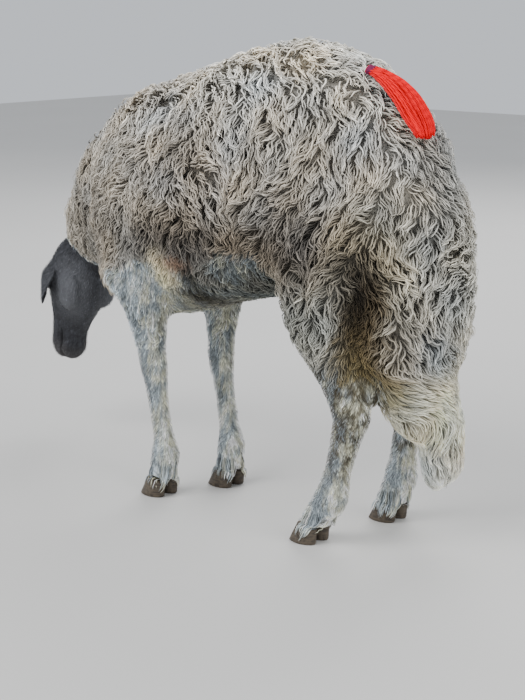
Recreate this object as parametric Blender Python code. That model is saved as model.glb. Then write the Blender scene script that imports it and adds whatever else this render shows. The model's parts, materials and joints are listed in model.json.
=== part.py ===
"""A fat-tailed sheep in short wool, standing with its back arched and its head lowered.

The model is still and life-size, in metres, with +Z up. The sheep faces -X, so its left side
is at -Y. All flesh is one body, lofted from named girths, fused, and then parted with thin
straight cuts into the parts that a shepherd would name. The solids reach to the tips of the
coat. The tail, ears, eyes, hooves and the yarn tassel on the rump are pieces of their own.
"""

import math
from collections import namedtuple

import bmesh
import bpy
from mathutils import Matrix, Vector
from mathutils.bvhtree import BVHTree

# ---------------------------------------------------------------- driving dimensions
RUMP_HEIGHT = 0.742  # highest point of the arched back, wool included
CHEST_FLOOR = 0.288  # underside of the brisket wool
BARREL_HALF_WIDTH = 0.165
HEAD_LENGTH = 0.238  # poll to the tip of the nose
EYE_RADIUS = 0.0135
CUT = 0.0004  # width of a cut between two parts of the body
CONTACT = 0.0003  # gap left where two separate pieces touch

VOXEL = 0.0055  # grid on which the lofted shapes are fused
BODY_FACES = 4300  # triangles kept on the fused body before it is parted
FINE_BIAS = 0.0004  # how much more of the finer parts the thinning keeps
BLEND_STEPS = 34  # smoothing passes that blend the fused shapes, fewest on the fine parts
LOFT_SIDES = 28
RINGS_PER_STEP = 5

SIDE = Vector((0.0, 1.0, 0.0))
UP = Vector((0.0, 0.0, 1.0))

# A girth of the body: its centre, then its half-size along the bone's thickness and across.
Girth = namedtuple("Girth", "x y z deep wide")
# A girth of the trunk: where it is, the lines of the back and belly, and its half-width.
Barrel = namedtuple("Barrel", "x y back belly wide")
# A girth of the head, in the head's own frame: distance from the poll towards the nose,
# the height of the face line and of the jaw line there, and the half-width.
Face = namedtuple("Face", "along face jaw wide")
# How thick a leg is at a share of the way from one joint to the next.
Thickness = namedtuple("Thickness", "bone share deep wide")

TRUNK = (
    Barrel(-0.360, 0.024, 0.512, 0.415, 0.044),
    Barrel(-0.330, 0.020, 0.594, 0.350, 0.080),
    Barrel(-0.280, 0.011, 0.643, 0.300, 0.110),
    Barrel(-0.210, 0.004, 0.668, CHEST_FLOOR, 0.134),
    Barrel(-0.120, 0.000, 0.690, 0.302, 0.154),
    Barrel(-0.030, 0.000, 0.718, 0.330, BARREL_HALF_WIDTH),
    Barrel(0.060, 0.000, RUMP_HEIGHT, 0.351, BARREL_HALF_WIDTH),
    Barrel(0.140, 0.000, 0.738, 0.374, 0.148),
    Barrel(0.215, 0.000, 0.709, 0.395, 0.126),
    Barrel(0.285, 0.000, 0.655, 0.415, 0.102),
    Barrel(0.332, 0.000, 0.590, 0.438, 0.078),
    Barrel(0.358, 0.000, 0.530, 0.484, 0.042),
)

NECK = (
    Girth(-0.230, 0.004, 0.500, 0.125, 0.090),
    Girth(-0.290, 0.022, 0.484, 0.134, 0.090),
    Girth(-0.340, 0.044, 0.458, 0.128, 0.082),
    Girth(-0.390, 0.065, 0.430, 0.112, 0.072),
    Girth(-0.450, 0.088, 0.390, 0.092, 0.062),
    Girth(-0.500, 0.102, 0.346, 0.074, 0.056),
)

TAIL = (
    Girth(0.300, 0.000, 0.580, 0.034, 0.060),
    Girth(0.316, 0.000, 0.510, 0.050, 0.084),
    Girth(0.312, 0.002, 0.440, 0.059, 0.098),
    Girth(0.305, 0.002, 0.360, 0.064, 0.107),
    Girth(0.300, 0.003, 0.295, 0.061, 0.101),
    Girth(0.298, 0.008, 0.248, 0.055, 0.082),
    Girth(0.302, 0.022, 0.208, 0.050, 0.066),
    Girth(0.312, 0.044, 0.168, 0.043, 0.047),
    Girth(0.311, 0.050, 0.120, 0.035, 0.038),
    Girth(0.300, 0.043, 0.078, 0.018, 0.020),
)
# The cuts that part the tail from the body: at each height, how far forward the cut runs on the
# middle line and beside it, where it reaches its last step back, and how far out it goes.
TailCut = namedtuple("TailCut", "z middle beside back left right")
TAIL_CUTS = (
    TailCut(0.540, 0.296, 0.290, 0.286, -0.220, 0.220),
    TailCut(0.460, 0.262, 0.264, 0.278, -0.220, 0.220),
    TailCut(0.370, 0.236, 0.252, 0.272, -0.220, 0.220),
    TailCut(0.300, 0.232, 0.250, 0.274, -0.150, 0.150),
    TailCut(0.250, 0.234, 0.250, 0.282, -0.092, 0.112),
    TailCut(0.205, 0.244, 0.256, 0.287, -0.060, 0.105),
    TailCut(0.155, 0.255, 0.262, 0.280, -0.022, 0.105),
    TailCut(0.040, 0.260, 0.262, 0.270, -0.022, 0.105),
)
TAIL_UPPER_END = 0.262  # heights at which the tail is parted into its lengths
TAIL_LOWER_END = 0.150

HIND_BONES = ("hip", "stifle", "hock", "fetlock", "coronet")
HIND_LEG = (
    Thickness("hip", 0.00, 0.096, 0.050),
    Thickness("hip", 0.45, 0.116, 0.062),
    Thickness("hip", 0.80, 0.094, 0.054),
    Thickness("stifle", 0.10, 0.070, 0.046),
    Thickness("stifle", 0.50, 0.046, 0.036),
    Thickness("stifle", 0.82, 0.034, 0.028),
    Thickness("hock", 0.00, 0.033, 0.027),
    Thickness("hock", 0.30, 0.0245, 0.0225),
    Thickness("hock", 0.70, 0.0225, 0.0215),
    Thickness("fetlock", 0.00, 0.0275, 0.0265),
    Thickness("fetlock", 0.55, 0.0255, 0.0270),
    Thickness("coronet", 0.00, 0.0295, 0.0295),
)
HIND_JOINTS = {
    "left": {
        "hip": (0.208, -0.060, 0.568),
        "stifle": (0.198, -0.096, 0.360),
        "hock": (0.248, -0.088, 0.212),
        "fetlock": (0.207, -0.082, 0.074),
        "coronet": (0.172, -0.081, 0.026),
    },
    "right": {
        "hip": (0.208, 0.060, 0.568),
        "stifle": (0.185, 0.098, 0.365),
        "hock": (0.224, 0.091, 0.217),
        "fetlock": (0.212, 0.085, 0.074),
        "coronet": (0.197, 0.083, 0.026),
    },
}

FORE_BONES = ("shoulder", "elbow", "knee", "fetlock", "coronet")
FORE_LEG = (
    Thickness("shoulder", 0.00, 0.058, 0.036),
    Thickness("shoulder", 0.60, 0.068, 0.048),
    Thickness("elbow", 0.05, 0.054, 0.044),
    Thickness("elbow", 0.40, 0.036, 0.032),
    Thickness("elbow", 0.70, 0.0275, 0.025),
    Thickness("knee", 0.00, 0.0245, 0.0225),
    Thickness("knee", 0.30, 0.0190, 0.0178),
    Thickness("knee", 0.75, 0.0185, 0.0178),
    Thickness("fetlock", 0.00, 0.0245, 0.0240),
    Thickness("fetlock", 0.55, 0.0235, 0.0250),
    Thickness("coronet", 0.00, 0.0280, 0.0280),
)
FORE_JOINTS = {
    "left": {
        "shoulder": (-0.225, -0.070, 0.446),
        "elbow": (-0.181, -0.082, 0.355),
        "knee": (-0.172, -0.067, 0.210),
        "fetlock": (-0.158, -0.058, 0.074),
        "coronet": (-0.168, -0.056, 0.026),
    },
    "right": {
        "shoulder": (-0.200, 0.070, 0.446),
        "elbow": (-0.157, 0.080, 0.355),
        "knee": (-0.146, 0.064, 0.212),
        "fetlock": (-0.118, 0.057, 0.074),
        "coronet": (-0.120, 0.055, 0.026),
    },
}

# The head hangs from the poll, its face turned down and to the sheep's right.
POLL = Vector((-0.545, 0.116, 0.376))
HEAD_PITCH = math.radians(62.0)
HEAD_TURN = math.radians(24.0)
SKULL = (
    Face(-0.018, -0.020, -0.085, 0.034),
    Face(0.004, 0.000, -0.112, 0.052),
    Face(0.040, 0.013, -0.124, 0.058),
    Face(0.078, 0.017, -0.124, 0.057),
    Face(0.112, 0.014, -0.112, 0.048),
    Face(0.150, 0.006, -0.095, 0.039),
    Face(0.186, -0.007, -0.085, 0.034),
    Face(0.212, -0.020, -0.083, 0.033),
    Face(0.231, -0.035, -0.077, 0.027),
    Face(HEAD_LENGTH, -0.048, -0.066, 0.012),
)
EYE_PLACE = Vector((0.086, 0.0420, -0.026))  # of the left eye, in the head's frame
BROW = (Vector((0.076, 0.035, -0.006)), Vector((0.025, 0.017, 0.013)))  # place, half-sizes
EAR_ROOT = Vector((0.012, 0.047, -0.034))
EAR_LENGTH = 0.108
EAR_HALF_WIDTH = 0.027
EAR_HALF_THICKNESS = 0.0045

CLAW_LENGTH = 0.050
CLAW_HALF_WIDTH = 0.0135
CLAW_SPREAD = 0.0150  # from the foot's middle line to a claw's own
CLAW_LEAN = 0.013  # how far the hoof wall leans back from the ground to the coronet
CORONET_HEIGHT = 0.029
CORONET_TILT = math.radians(14.0)  # the coronet is higher at the toe

# The tassel lies on the croup: where its middle line runs, seen from above, and how wide and
# thick it is there.
Yarn = namedtuple("Yarn", "x y wide thick")
TASSEL = (
    Yarn(0.221, -0.030, 0.0055, 0.0050),
    Yarn(0.243, -0.020, 0.0150, 0.0085),
    Yarn(0.268, -0.014, 0.0195, 0.0095),
    Yarn(0.291, -0.012, 0.0205, 0.0090),
    Yarn(0.315, -0.012, 0.0200, 0.0065),
)
TASSEL_SIDES = 12
TASSEL_STEPS = 16
TASSEL_KNOT_STEPS = 3  # of the steps, those that are the bound knot


# ---------------------------------------------------------------- scene helpers
def clear_scene():
    for obj in list(bpy.data.objects):
        bpy.data.objects.remove(obj, do_unlink=True)


def finish_for(name, colour, roughness):
    """The Principled material called name, made on its first use."""
    material = bpy.data.materials.get(name)
    if material is None:
        material = bpy.data.materials.new(name)
        material.use_nodes = True
        shader = material.node_tree.nodes["Principled BSDF"]
        shader.inputs["Base Color"].default_value = (*colour, 1.0)
        shader.inputs["Roughness"].default_value = roughness
        shader.inputs["Metallic"].default_value = 0.0
    return material


def wool():
    return finish_for("grey_wool", (0.34, 0.31, 0.26), 0.95)


def short_hair():
    return finish_for("leg_hair", (0.42, 0.41, 0.36), 0.9)


def dark_hair():
    return finish_for("face_hair", (0.05, 0.05, 0.055), 0.85)


def horn():
    return finish_for("hoof_horn", (0.10, 0.08, 0.06), 0.6)


def eye_gloss():
    return finish_for("eye", (0.16, 0.10, 0.03), 0.1)


def red_yarn():
    return finish_for("red_yarn", (0.75, 0.02, 0.02), 0.8)


def add_object(name, mesh, material=None):
    obj = bpy.data.objects.new(name, mesh)
    bpy.context.scene.collection.objects.link(obj)
    if material is not None:
        mesh.materials.clear()
        mesh.materials.append(material)
    return obj


def mesh_from(name, bm):
    mesh = bpy.data.meshes.new(name)
    bm.normal_update()
    bm.to_mesh(mesh)
    bm.free()
    return mesh


def apply_modifiers(obj):
    """Replaces the object's mesh by its mesh with all modifiers applied."""
    bpy.context.view_layer.update()
    evaluated = obj.evaluated_get(bpy.context.evaluated_depsgraph_get())
    mesh = bpy.data.meshes.new_from_object(evaluated)
    obj.modifiers.clear()
    obj.data = mesh


def boolean(obj, cutter, operation, solver="EXACT"):
    modifier = obj.modifiers.new(operation.lower(), "BOOLEAN")
    modifier.operation = operation
    modifier.solver = solver
    modifier.object = cutter
    apply_modifiers(obj)


def remove(obj):
    bpy.data.objects.remove(obj, do_unlink=True)


# ---------------------------------------------------------------- lofting
def between(before, start, end, after, share):
    """A point of the Catmull-Rom curve between two values, which may be numbers or vectors."""
    square, cube = share * share, share * share * share
    return 0.5 * (
        2 * start
        + (end - before) * share
        + (2 * before - 5 * start + 4 * end - after) * square
        + (3 * start - before - 3 * end + after) * cube
    )


def smoothed(rows):
    """The rows with RINGS_PER_STEP rows along a smooth curve from each to the next."""
    values = [Vector(row) for row in rows]
    fine = []
    for i in range(len(values) - 1):
        before, after = values[max(i - 1, 0)], values[min(i + 2, len(values) - 1)]
        for step in range(RINGS_PER_STEP):
            share = step / RINGS_PER_STEP
            fine.append(between(before, values[i], values[i + 1], after, share))
    fine.append(values[-1])
    return fine


def skin_rings(bm, rings):
    """Joins rings of points into a closed tube with flat ends."""
    loops = [[bm.verts.new(point) for point in ring] for ring in rings]
    sides = len(loops[0])
    for first, second in zip(loops, loops[1:]):
        for i in range(sides):
            j = (i + 1) % sides
            bm.faces.new((first[i], first[j], second[j], second[i]))
    bm.faces.new(list(reversed(loops[0])))
    bm.faces.new(loops[-1])


def loft_limb(bm, girths):
    """A limb through girths of (x, y, z, deep, wide), each girth square to the limb's line."""
    fine = smoothed(girths)
    centres = [Vector(row[:3]) for row in fine]
    rings = []
    for i, row in enumerate(fine):
        along = centres[min(i + 1, len(fine) - 1)] - centres[max(i - 1, 0)]
        along.normalize()
        across = (SIDE - along * SIDE.dot(along)).normalized()
        outward = along.cross(across)
        ring = []
        for k in range(LOFT_SIDES):
            turn = 2 * math.pi * k / LOFT_SIDES
            reach = across * (row[4] * math.cos(turn)) + outward * (row[3] * math.sin(turn))
            ring.append(centres[i] + reach)
        rings.append(ring)
    skin_rings(bm, rings)


def loft_trunk(bm):
    """The barrel of the trunk: rounder below and narrower along the spine."""
    rings = []
    for x, y, back, belly, wide in (tuple(row) for row in smoothed_rows(TRUNK)):
        middle, half = (back + belly) / 2, (back - belly) / 2
        ring = []
        for k in range(LOFT_SIDES):
            turn = 2 * math.pi * k / LOFT_SIDES
            rise = math.sin(turn)
            narrowing = 1.0 - 0.16 * max(rise, 0.0) ** 2
            full = math.copysign(abs(math.cos(turn)) ** 0.88, math.cos(turn))
            ring.append(Vector((x, y + wide * full * narrowing, middle + half * rise)))
        rings.append(ring)
    skin_rings(bm, rings)


def smoothed_rows(rows):
    """As smoothed, for rows of any length."""
    fine = []
    for i in range(len(rows) - 1):
        before, after = rows[max(i - 1, 0)], rows[min(i + 2, len(rows) - 1)]
        for step in range(RINGS_PER_STEP):
            share = step / RINGS_PER_STEP
            columns = zip(before, rows[i], rows[i + 1], after)
            fine.append([between(*column, share) for column in columns])
    fine.append(list(rows[-1]))
    return fine


def leg_girths(bones, thicknesses, joints):
    """A leg's girths, from its joints and from how thick it is between them."""
    girths = []
    for part in thicknesses:
        start = Vector(joints[part.bone])
        following = bones[min(bones.index(part.bone) + 1, len(bones) - 1)]
        centre = start.lerp(Vector(joints[following]), part.share)
        girths.append((*centre, part.deep, part.wide))
    return girths


def head_matrix():
    """Places the head's frame: X towards the nose, Y to its left, Z out of the forehead."""
    ahead = Vector((-math.cos(HEAD_TURN), math.sin(HEAD_TURN), 0.0))
    nose = ahead * math.cos(HEAD_PITCH) - UP * math.sin(HEAD_PITCH)
    forehead = ahead * math.sin(HEAD_PITCH) + UP * math.cos(HEAD_PITCH)
    left = forehead.cross(nose)
    turned = Matrix((nose, left, forehead)).transposed().to_4x4()
    return Matrix.Translation(POLL) @ turned


def loft_head(bm, place):
    """Skull, muzzle and jaw: full at the eyes, narrow along the jaw's edge."""
    rings = []
    for along, face, jaw, wide in smoothed_rows(SKULL):
        middle, half = (face + jaw) / 2, (face - jaw) / 2
        ring = []
        for k in range(LOFT_SIDES):
            turn = 2 * math.pi * k / LOFT_SIDES
            rise = math.sin(turn)
            jaw_taper = 1.0 - 0.34 * max(-rise, 0.0) ** 1.4
            brow_taper = 1.0 - 0.20 * max(rise, 0.0) ** 3
            across = wide * math.cos(turn) * jaw_taper * brow_taper
            ring.append(place @ Vector((along, across, middle + half * rise)))
        rings.append(list(reversed(ring)))
    skin_rings(bm, rings)


def add_ellipsoid(bm, place, centre, half_sizes):
    stretch = Matrix.Diagonal((*half_sizes, 1.0))
    matrix = place @ Matrix.Translation(centre) @ stretch
    bmesh.ops.create_icosphere(bm, subdivisions=3, radius=1.0, matrix=matrix)


def mirrored(point, side):
    """The point on the head's left, or its mirror image on the right."""
    return Vector((point.x, point.y if side == "left" else -point.y, point.z))


# ---------------------------------------------------------------- the body
def fuse(bm, name, voxel, smoothing, faces, keep=None):
    """One closed mesh from overlapping shapes, smoothed, and thinned to a number of triangles.

    keep is a function of place that says how much of the smoothing and thinning a point takes.
    """
    bmesh.ops.recalc_face_normals(bm, faces=bm.faces[:])
    obj = add_object(name, mesh_from(name, bm))
    remesh = obj.modifiers.new("fuse", "REMESH")
    remesh.mode = "VOXEL"
    remesh.voxel_size = voxel
    apply_modifiers(obj)
    group = obj.vertex_groups.new(name="plain")
    for vertex in obj.data.vertices:
        weight = keep(vertex.co) if keep else 1.0
        group.add([vertex.index], weight, "REPLACE")
    smooth = obj.modifiers.new("smooth", "SMOOTH")
    smooth.factor = 0.5
    smooth.iterations = smoothing
    smooth.vertex_group = "plain"
    thin = obj.modifiers.new("thin", "DECIMATE")
    thin.ratio = faces / (2 * len(obj.data.polygons))
    thin.vertex_group = "plain"
    thin.vertex_group_factor = FINE_BIAS
    thin.use_collapse_triangulate = True
    apply_modifiers(obj)
    keep_largest(obj)
    return obj


def plainness(point):
    """1 on the trunk, and less where the form is finer: on the head, the legs and the tail."""
    to_head = (point - (POLL + Vector((-0.04, 0.02, -0.12)))).length
    near_head = 1.0 - min(max((to_head - 0.150) / 0.070, 0.0), 1.0)
    low = 1.0 - min(max((point.z - 0.230) / 0.110, 0.0), 1.0)
    return 1.0 - 0.93 * max(near_head, 0.90 * low)


def build_body(place):
    bm = bmesh.new()
    loft_trunk(bm)
    loft_limb(bm, NECK)
    loft_limb(bm, TAIL)
    for side in ("left", "right"):
        loft_limb(bm, leg_girths(HIND_BONES, HIND_LEG, HIND_JOINTS[side]))
        loft_limb(bm, leg_girths(FORE_BONES, FORE_LEG, FORE_JOINTS[side]))
        add_ellipsoid(bm, place, mirrored(BROW[0], side), BROW[1])
    loft_head(bm, place)
    return fuse(bm, "body", VOXEL, BLEND_STEPS, BODY_FACES, plainness)


# ---------------------------------------------------------------- parting the body
def block(name, matrix, low, high):
    """A box from low to high in the frame that matrix places."""
    bm = bmesh.new()
    size, centre = Vector(high) - Vector(low), (Vector(high) + Vector(low)) / 2
    stretch = Matrix.Translation(centre) @ Matrix.Diagonal((*size, 1.0))
    bmesh.ops.create_cube(bm, size=1.0, matrix=matrix @ stretch)
    return add_object(name, mesh_from(name, bm))


def side_prism(name, outline, inner, outer):
    """A prism whose outline is seen from the sheep's side, between two distances from it."""
    bm = bmesh.new()
    near = [bm.verts.new((x, inner, z)) for x, z in outline]
    far = [bm.verts.new((x, outer, z)) for x, z in outline]
    bm.faces.new(near)
    bm.faces.new(list(reversed(far)))
    for i in range(len(outline)):
        j = (i + 1) % len(outline)
        bm.faces.new((near[j], near[i], far[i], far[j]))
    bmesh.ops.recalc_face_normals(bm, faces=bm.faces[:])
    return add_object(name, mesh_from(name, bm))


def grown(obj, reach):
    """A copy of a convex block with every face moved out by reach."""
    bm = bmesh.new()
    bm.from_mesh(obj.data)
    bmesh.ops.recalc_face_normals(bm, faces=bm.faces[:])
    moved = {}
    for vertex in bm.verts:
        rows = [face.normal for face in vertex.link_faces[:3]]
        moved[vertex] = Matrix(rows).inverted() @ Vector((reach, reach, reach))
    for vertex, shift in moved.items():
        vertex.co += shift
    return add_object(obj.name + "_grown", mesh_from(obj.name, bm))


def carve(body, name, region, material):
    """Parts what lies in the region from the body, with a thin cut, and names it.

    The exact solver loses pieces of the fused body, so these cuts use the manifold one.
    """
    part = add_object(name, body.data.copy(), None)
    boolean(part, region, "INTERSECT", "MANIFOLD")
    wider = grown(region, CUT)
    boolean(body, wider, "DIFFERENCE", "MANIFOLD")
    remove(wider)
    remove(region)
    part.data.materials.clear()
    part.data.materials.append(material)
    return part


def inflated(obj, reach):
    """A copy of a piece, its surface moved out by reach, to cut what touches the piece."""
    copy = add_object(obj.name + "_inflated", obj.data.copy())
    swell = copy.modifiers.new("swell", "DISPLACE")
    swell.strength = reach
    swell.mid_level = 0.0
    apply_modifiers(copy)
    return copy


def trim_against(piece, *neighbours):
    """Cuts a piece back from the neighbours that it touches, leaving the contact gap."""
    for neighbour in neighbours:
        cutter = inflated(neighbour, CONTACT)
        boolean(piece, cutter, "DIFFERENCE")
        remove(cutter)


def keep_largest(obj):
    """Deletes the small loose chips that a cut can leave, keeping the largest body."""
    bm = bmesh.new()
    bm.from_mesh(obj.data)
    left, bodies = set(bm.verts), []
    while left:
        found, edge = set(), [left.pop()]
        while edge:
            vertex = edge.pop()
            found.add(vertex)
            for link in vertex.link_edges:
                other = link.other_vert(vertex)
                if other in left:
                    left.remove(other)
                    edge.append(other)
        bodies.append(found)
    bodies.sort(key=len)
    for small in bodies[:-1]:
        bmesh.ops.delete(bm, geom=list(small), context="VERTS")
    bm.to_mesh(obj.data)
    bm.free()


def coronet_frame(joint):
    """The frame of the plane on which a foot meets its two claws."""
    tilt = Matrix.Rotation(CORONET_TILT, 4, "Y")
    return Matrix.Translation(Vector((joint[0], joint[1], CORONET_HEIGHT))) @ tilt


def part_leg(body, leg, side, joints, upper_region, pastern_height, shank_height):
    """Parts one leg into its upper leg, shank and foot, and drops what the claws replace."""
    name = f"{leg}leg_{side}"
    frame = coronet_frame(joints["coronet"])
    stub = block("stub", frame, (-0.09, -0.06, -0.12), (0.09, 0.06, 0.0))
    boolean(body, stub, "DIFFERENCE", "MANIFOLD")
    remove(stub)
    level = Matrix.Translation(Vector((joints["fetlock"][0], joints["fetlock"][1], 0.0)))
    foot = block("region", level, (-0.10, -0.055, -0.01), (0.10, 0.055, pastern_height))
    carve(body, f"{name}_foot", foot, short_hair())
    shank = block("region", level, (-0.10, -0.055, 0.0), (0.12, 0.055, shank_height))
    carve(body, f"{name}_shank", shank, short_hair())
    carve(body, f"{name}_upper", upper_region, wool())


def part_tail(body):
    """Parts the fat tail from the body by a winding cut, and then into its three lengths."""
    bm = bmesh.new()
    rings = []
    for cut in TAIL_CUTS:
        back, ends = 0.50, (cut.left, cut.right)
        near = [min(abs(cut.left), 0.055), min(cut.right, 0.055)]
        plan = (
            (cut.middle, 0.012), (cut.beside, near[1]), (cut.back, ends[1]), (back, ends[1]),
            (back, ends[0]), (cut.back, ends[0]), (cut.beside, -near[0]),
        )  # fmt: skip
        rings.append([Vector((x, y, cut.z)) for x, y in plan])
    skin_rings(bm, rings)
    bmesh.ops.triangulate(bm, faces=bm.faces[:])
    bmesh.ops.recalc_face_normals(bm, faces=bm.faces[:])
    region = add_object("region", mesh_from("region", bm))
    tail = add_object("tail_upper", body.data.copy())
    boolean(tail, region, "INTERSECT", "MANIFOLD")
    wider = inflated(region, CUT)
    boolean(body, wider, "DIFFERENCE", "MANIFOLD")
    remove(wider)
    remove(region)
    tail.data.materials.clear()
    tail.data.materials.append(wool())
    keep_largest(tail)
    whole = Matrix.Identity(4)
    tip = block("region", whole, (0.1, -0.2, -0.1), (0.5, 0.2, TAIL_LOWER_END))
    carve(tail, "tail_tip", tip, wool())
    lower = block("region", whole, (0.1, -0.2, -0.1), (0.5, 0.2, TAIL_UPPER_END))
    carve(tail, "tail_lower", lower, wool())


def part_body(body, place):
    """Cuts the fused body into tail, head, neck, legs and trunk."""
    part_tail(body)
    head = block("region", place, (-0.030, -0.12, -0.165), (0.30, 0.12, 0.08))
    head_part = carve(body, "head", head, dark_hair())
    axis = (Vector(NECK[2][:3]) - Vector(NECK[0][:3])).normalized()
    across = (SIDE - axis * SIDE.dot(axis)).normalized()
    frame = Matrix((axis, across, axis.cross(across))).transposed().to_4x4()
    neck_place = Matrix.Translation(Vector(NECK[1][:3]) + axis * 0.012) @ frame
    neck = block("region", neck_place, (0.0, -0.17, -0.20), (0.40, 0.17, 0.20))
    carve(body, "neck", neck, wool())
    for side, sign in (("left", -1.0), ("right", 1.0)):
        thigh_outline = (
            (0.135, 0.255), (0.105, 0.330), (0.078, 0.420), (0.105, 0.505),
            (0.190, 0.545), (0.300, 0.520), (0.400, 0.440), (0.400, 0.255),
        )  # fmt: skip
        thigh = side_prism("region", thigh_outline, sign * 0.030, sign * 0.26)
        part_leg(body, "hind", side, HIND_JOINTS[side], thigh, 0.100, 0.2545)
        elbow_outline = (
            (-0.300, 0.235), (-0.285, 0.330), (-0.245, 0.372), (-0.130, 0.372),
            (-0.095, 0.330), (-0.070, 0.235),
        )  # fmt: skip
        elbow = side_prism("region", elbow_outline, sign * 0.024, sign * 0.26)
        part_leg(body, "fore", side, FORE_JOINTS[side], elbow, 0.100, 0.2345)
    body.name = "trunk"
    body.data.materials.clear()
    body.data.materials.append(wool())
    for obj in list(bpy.data.objects):
        keep_largest(obj)
    return body, head_part


# ---------------------------------------------------------------- the separate pieces
def build_claws():
    """Two claws for each foot: flat below, pointed at the toe, leaning back to the coronet."""
    steps = 14
    for leg, all_joints in (("hind", HIND_JOINTS), ("fore", FORE_JOINTS)):
        for side, joints in all_joints.items():
            frame = coronet_frame(joints["coronet"])
            for claw, sign in (("outer", 1.0), ("inner", -1.0)):
                across = sign * CLAW_SPREAD * (1.0 if side == "right" else -1.0)
                bm = bmesh.new()
                ground, top = [], []
                for k in range(steps):
                    turn = 2 * math.pi * k / steps
                    reach = math.cos(turn)
                    toe = 0.5 * (1.0 + reach)
                    width = CLAW_HALF_WIDTH * math.sin(turn) * (1.0 - 0.35 * toe**3)
                    x = -0.5 * CLAW_LENGTH * reach - 0.010
                    base = Vector((joints["coronet"][0] + x, joints["coronet"][1] + across, 0.0))
                    ground.append(base + Vector((0.0, width, 0.0)))
                    lean = CLAW_LEAN * (0.35 + 0.65 * toe)
                    foot_x = x * 0.86 + lean
                    rise = frame @ Vector((foot_x, across + 0.90 * width, -CONTACT))
                    top.append(rise)
                skin_rings(bm, [ground, top])
                bmesh.ops.recalc_face_normals(bm, faces=bm.faces[:])
                add_object(f"claw_{leg}_{side}_{claw}", mesh_from("claw", bm), horn())


def build_eyes(head, place):
    for side in ("left", "right"):
        centre = place @ mirrored(EYE_PLACE, side)
        socket_bm = bmesh.new()
        bmesh.ops.create_uvsphere(
            socket_bm, u_segments=12, v_segments=8, radius=EYE_RADIUS + CONTACT,
            matrix=Matrix.Translation(centre) @ place.to_3x3().to_4x4(),
        )  # fmt: skip
        socket = add_object("socket", mesh_from("socket", socket_bm))
        boolean(head, socket, "DIFFERENCE")
        remove(socket)
        bm = bmesh.new()
        bmesh.ops.create_uvsphere(
            bm, u_segments=12, v_segments=8, radius=EYE_RADIUS - CONTACT,
            matrix=Matrix.Translation(centre) @ place.to_3x3().to_4x4(),
        )  # fmt: skip
        add_object(f"eye_{side}", mesh_from("eye", bm), eye_gloss())


def build_ears(head, neck, place):
    """Long ears that hang beside the cheeks, each a cupped leaf."""
    for side, sign in (("left", 1.0), ("right", -1.0)):
        root = place @ mirrored(EAR_ROOT, side)
        out = (place.to_3x3() @ Vector((0.0, sign, 0.0))).normalized()
        nose = (place.to_3x3() @ Vector((1.0, 0.0, 0.0))).normalized()
        hang = (nose * 0.12 - UP * 0.92 + out * 0.24).normalized()
        facing = (out - hang * out.dot(hang)).normalized()
        breadth = hang.cross(facing)
        steps, sides = 7, 12
        rings = []
        for i in range(steps + 1):
            share = i / steps
            width = EAR_HALF_WIDTH * (0.42 + 0.58 * math.sin(math.pi * min(share * 0.95 + 0.10, 1.0)))
            width *= 1.0 - 0.55 * max(share - 0.75, 0.0) / 0.25
            bow = out * (0.016 * math.sin(math.pi * share * 0.8))
            centre = root - out * 0.010 * (1.0 - share) ** 2 + hang * (EAR_LENGTH * share) + bow
            thick = EAR_HALF_THICKNESS * (1.75 - 1.10 * share)
            ring = []
            for k in range(sides):
                turn = 2 * math.pi * k / sides
                across = width * math.cos(turn)
                cup = -0.30 * across * across / EAR_HALF_WIDTH
                ring.append(centre + breadth * across + facing * (cup + thick * math.sin(turn)))
            rings.append(ring)
        bm = bmesh.new()
        skin_rings(bm, rings)
        bmesh.ops.recalc_face_normals(bm, faces=bm.faces[:])
        ear = add_object(f"ear_{side}", mesh_from("ear", bm), dark_hair())
        trim_against(ear, head, neck)
        keep_largest(ear)


def build_tassel(trunk):
    """The red yarn tassel: a bound knot, and a flat skirt of yarn that lies on the croup."""
    bm = bmesh.new()
    bm.from_mesh(trunk.data)
    surface = BVHTree.FromBMesh(bm)
    bm.free()
    rows = []
    for i in range(TASSEL_STEPS + 1):
        at = i / TASSEL_STEPS * (len(TASSEL) - 1)
        k = min(int(at), len(TASSEL) - 2)
        before, after = TASSEL[max(k - 1, 0)], TASSEL[min(k + 2, len(TASSEL) - 1)]
        columns = zip(before, TASSEL[k], TASSEL[k + 1], after)
        x, y, wide, thick = (between(*column, at - k) for column in columns)
        place, normal, _, _ = surface.ray_cast(Vector((x, y, 1.0)), -UP)
        rows.append((place, normal, wide, thick))
    rings = []
    for i, (place, normal, wide, thick) in enumerate(rows):
        run = rows[min(i + 1, TASSEL_STEPS)][0] - rows[max(i - 1, 0)][0]
        outward = rows[min(max(i, 2), TASSEL_STEPS - 2)][1]
        outward = (outward - run * outward.dot(run) / run.length_squared).normalized()
        across = run.cross(outward).normalized()
        centre = place + outward * thick * 0.85
        ring = []
        for k in range(TASSEL_SIDES):
            turn = 2 * math.pi * k / TASSEL_SIDES
            reach = across * wide * math.cos(turn) + outward * thick * math.sin(turn)
            ring.append(centre + reach)
        rings.append(ring)
    cut_run = (rings[TASSEL_KNOT_STEPS][0] - rings[TASSEL_KNOT_STEPS - 1][0]).normalized() * CUT
    knot_end = [point - cut_run for point in rings[TASSEL_KNOT_STEPS]]
    spans = {
        "tassel_knot": rings[:TASSEL_KNOT_STEPS] + [knot_end],
        "tassel_skirt": rings[TASSEL_KNOT_STEPS:],
    }
    for name, span in spans.items():
        bm = bmesh.new()
        skin_rings(bm, span)
        bmesh.ops.recalc_face_normals(bm, faces=bm.faces[:])
        piece = add_object(name, mesh_from(name, bm), red_yarn())
        trim_against(piece, trunk)
        keep_largest(piece)


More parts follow.
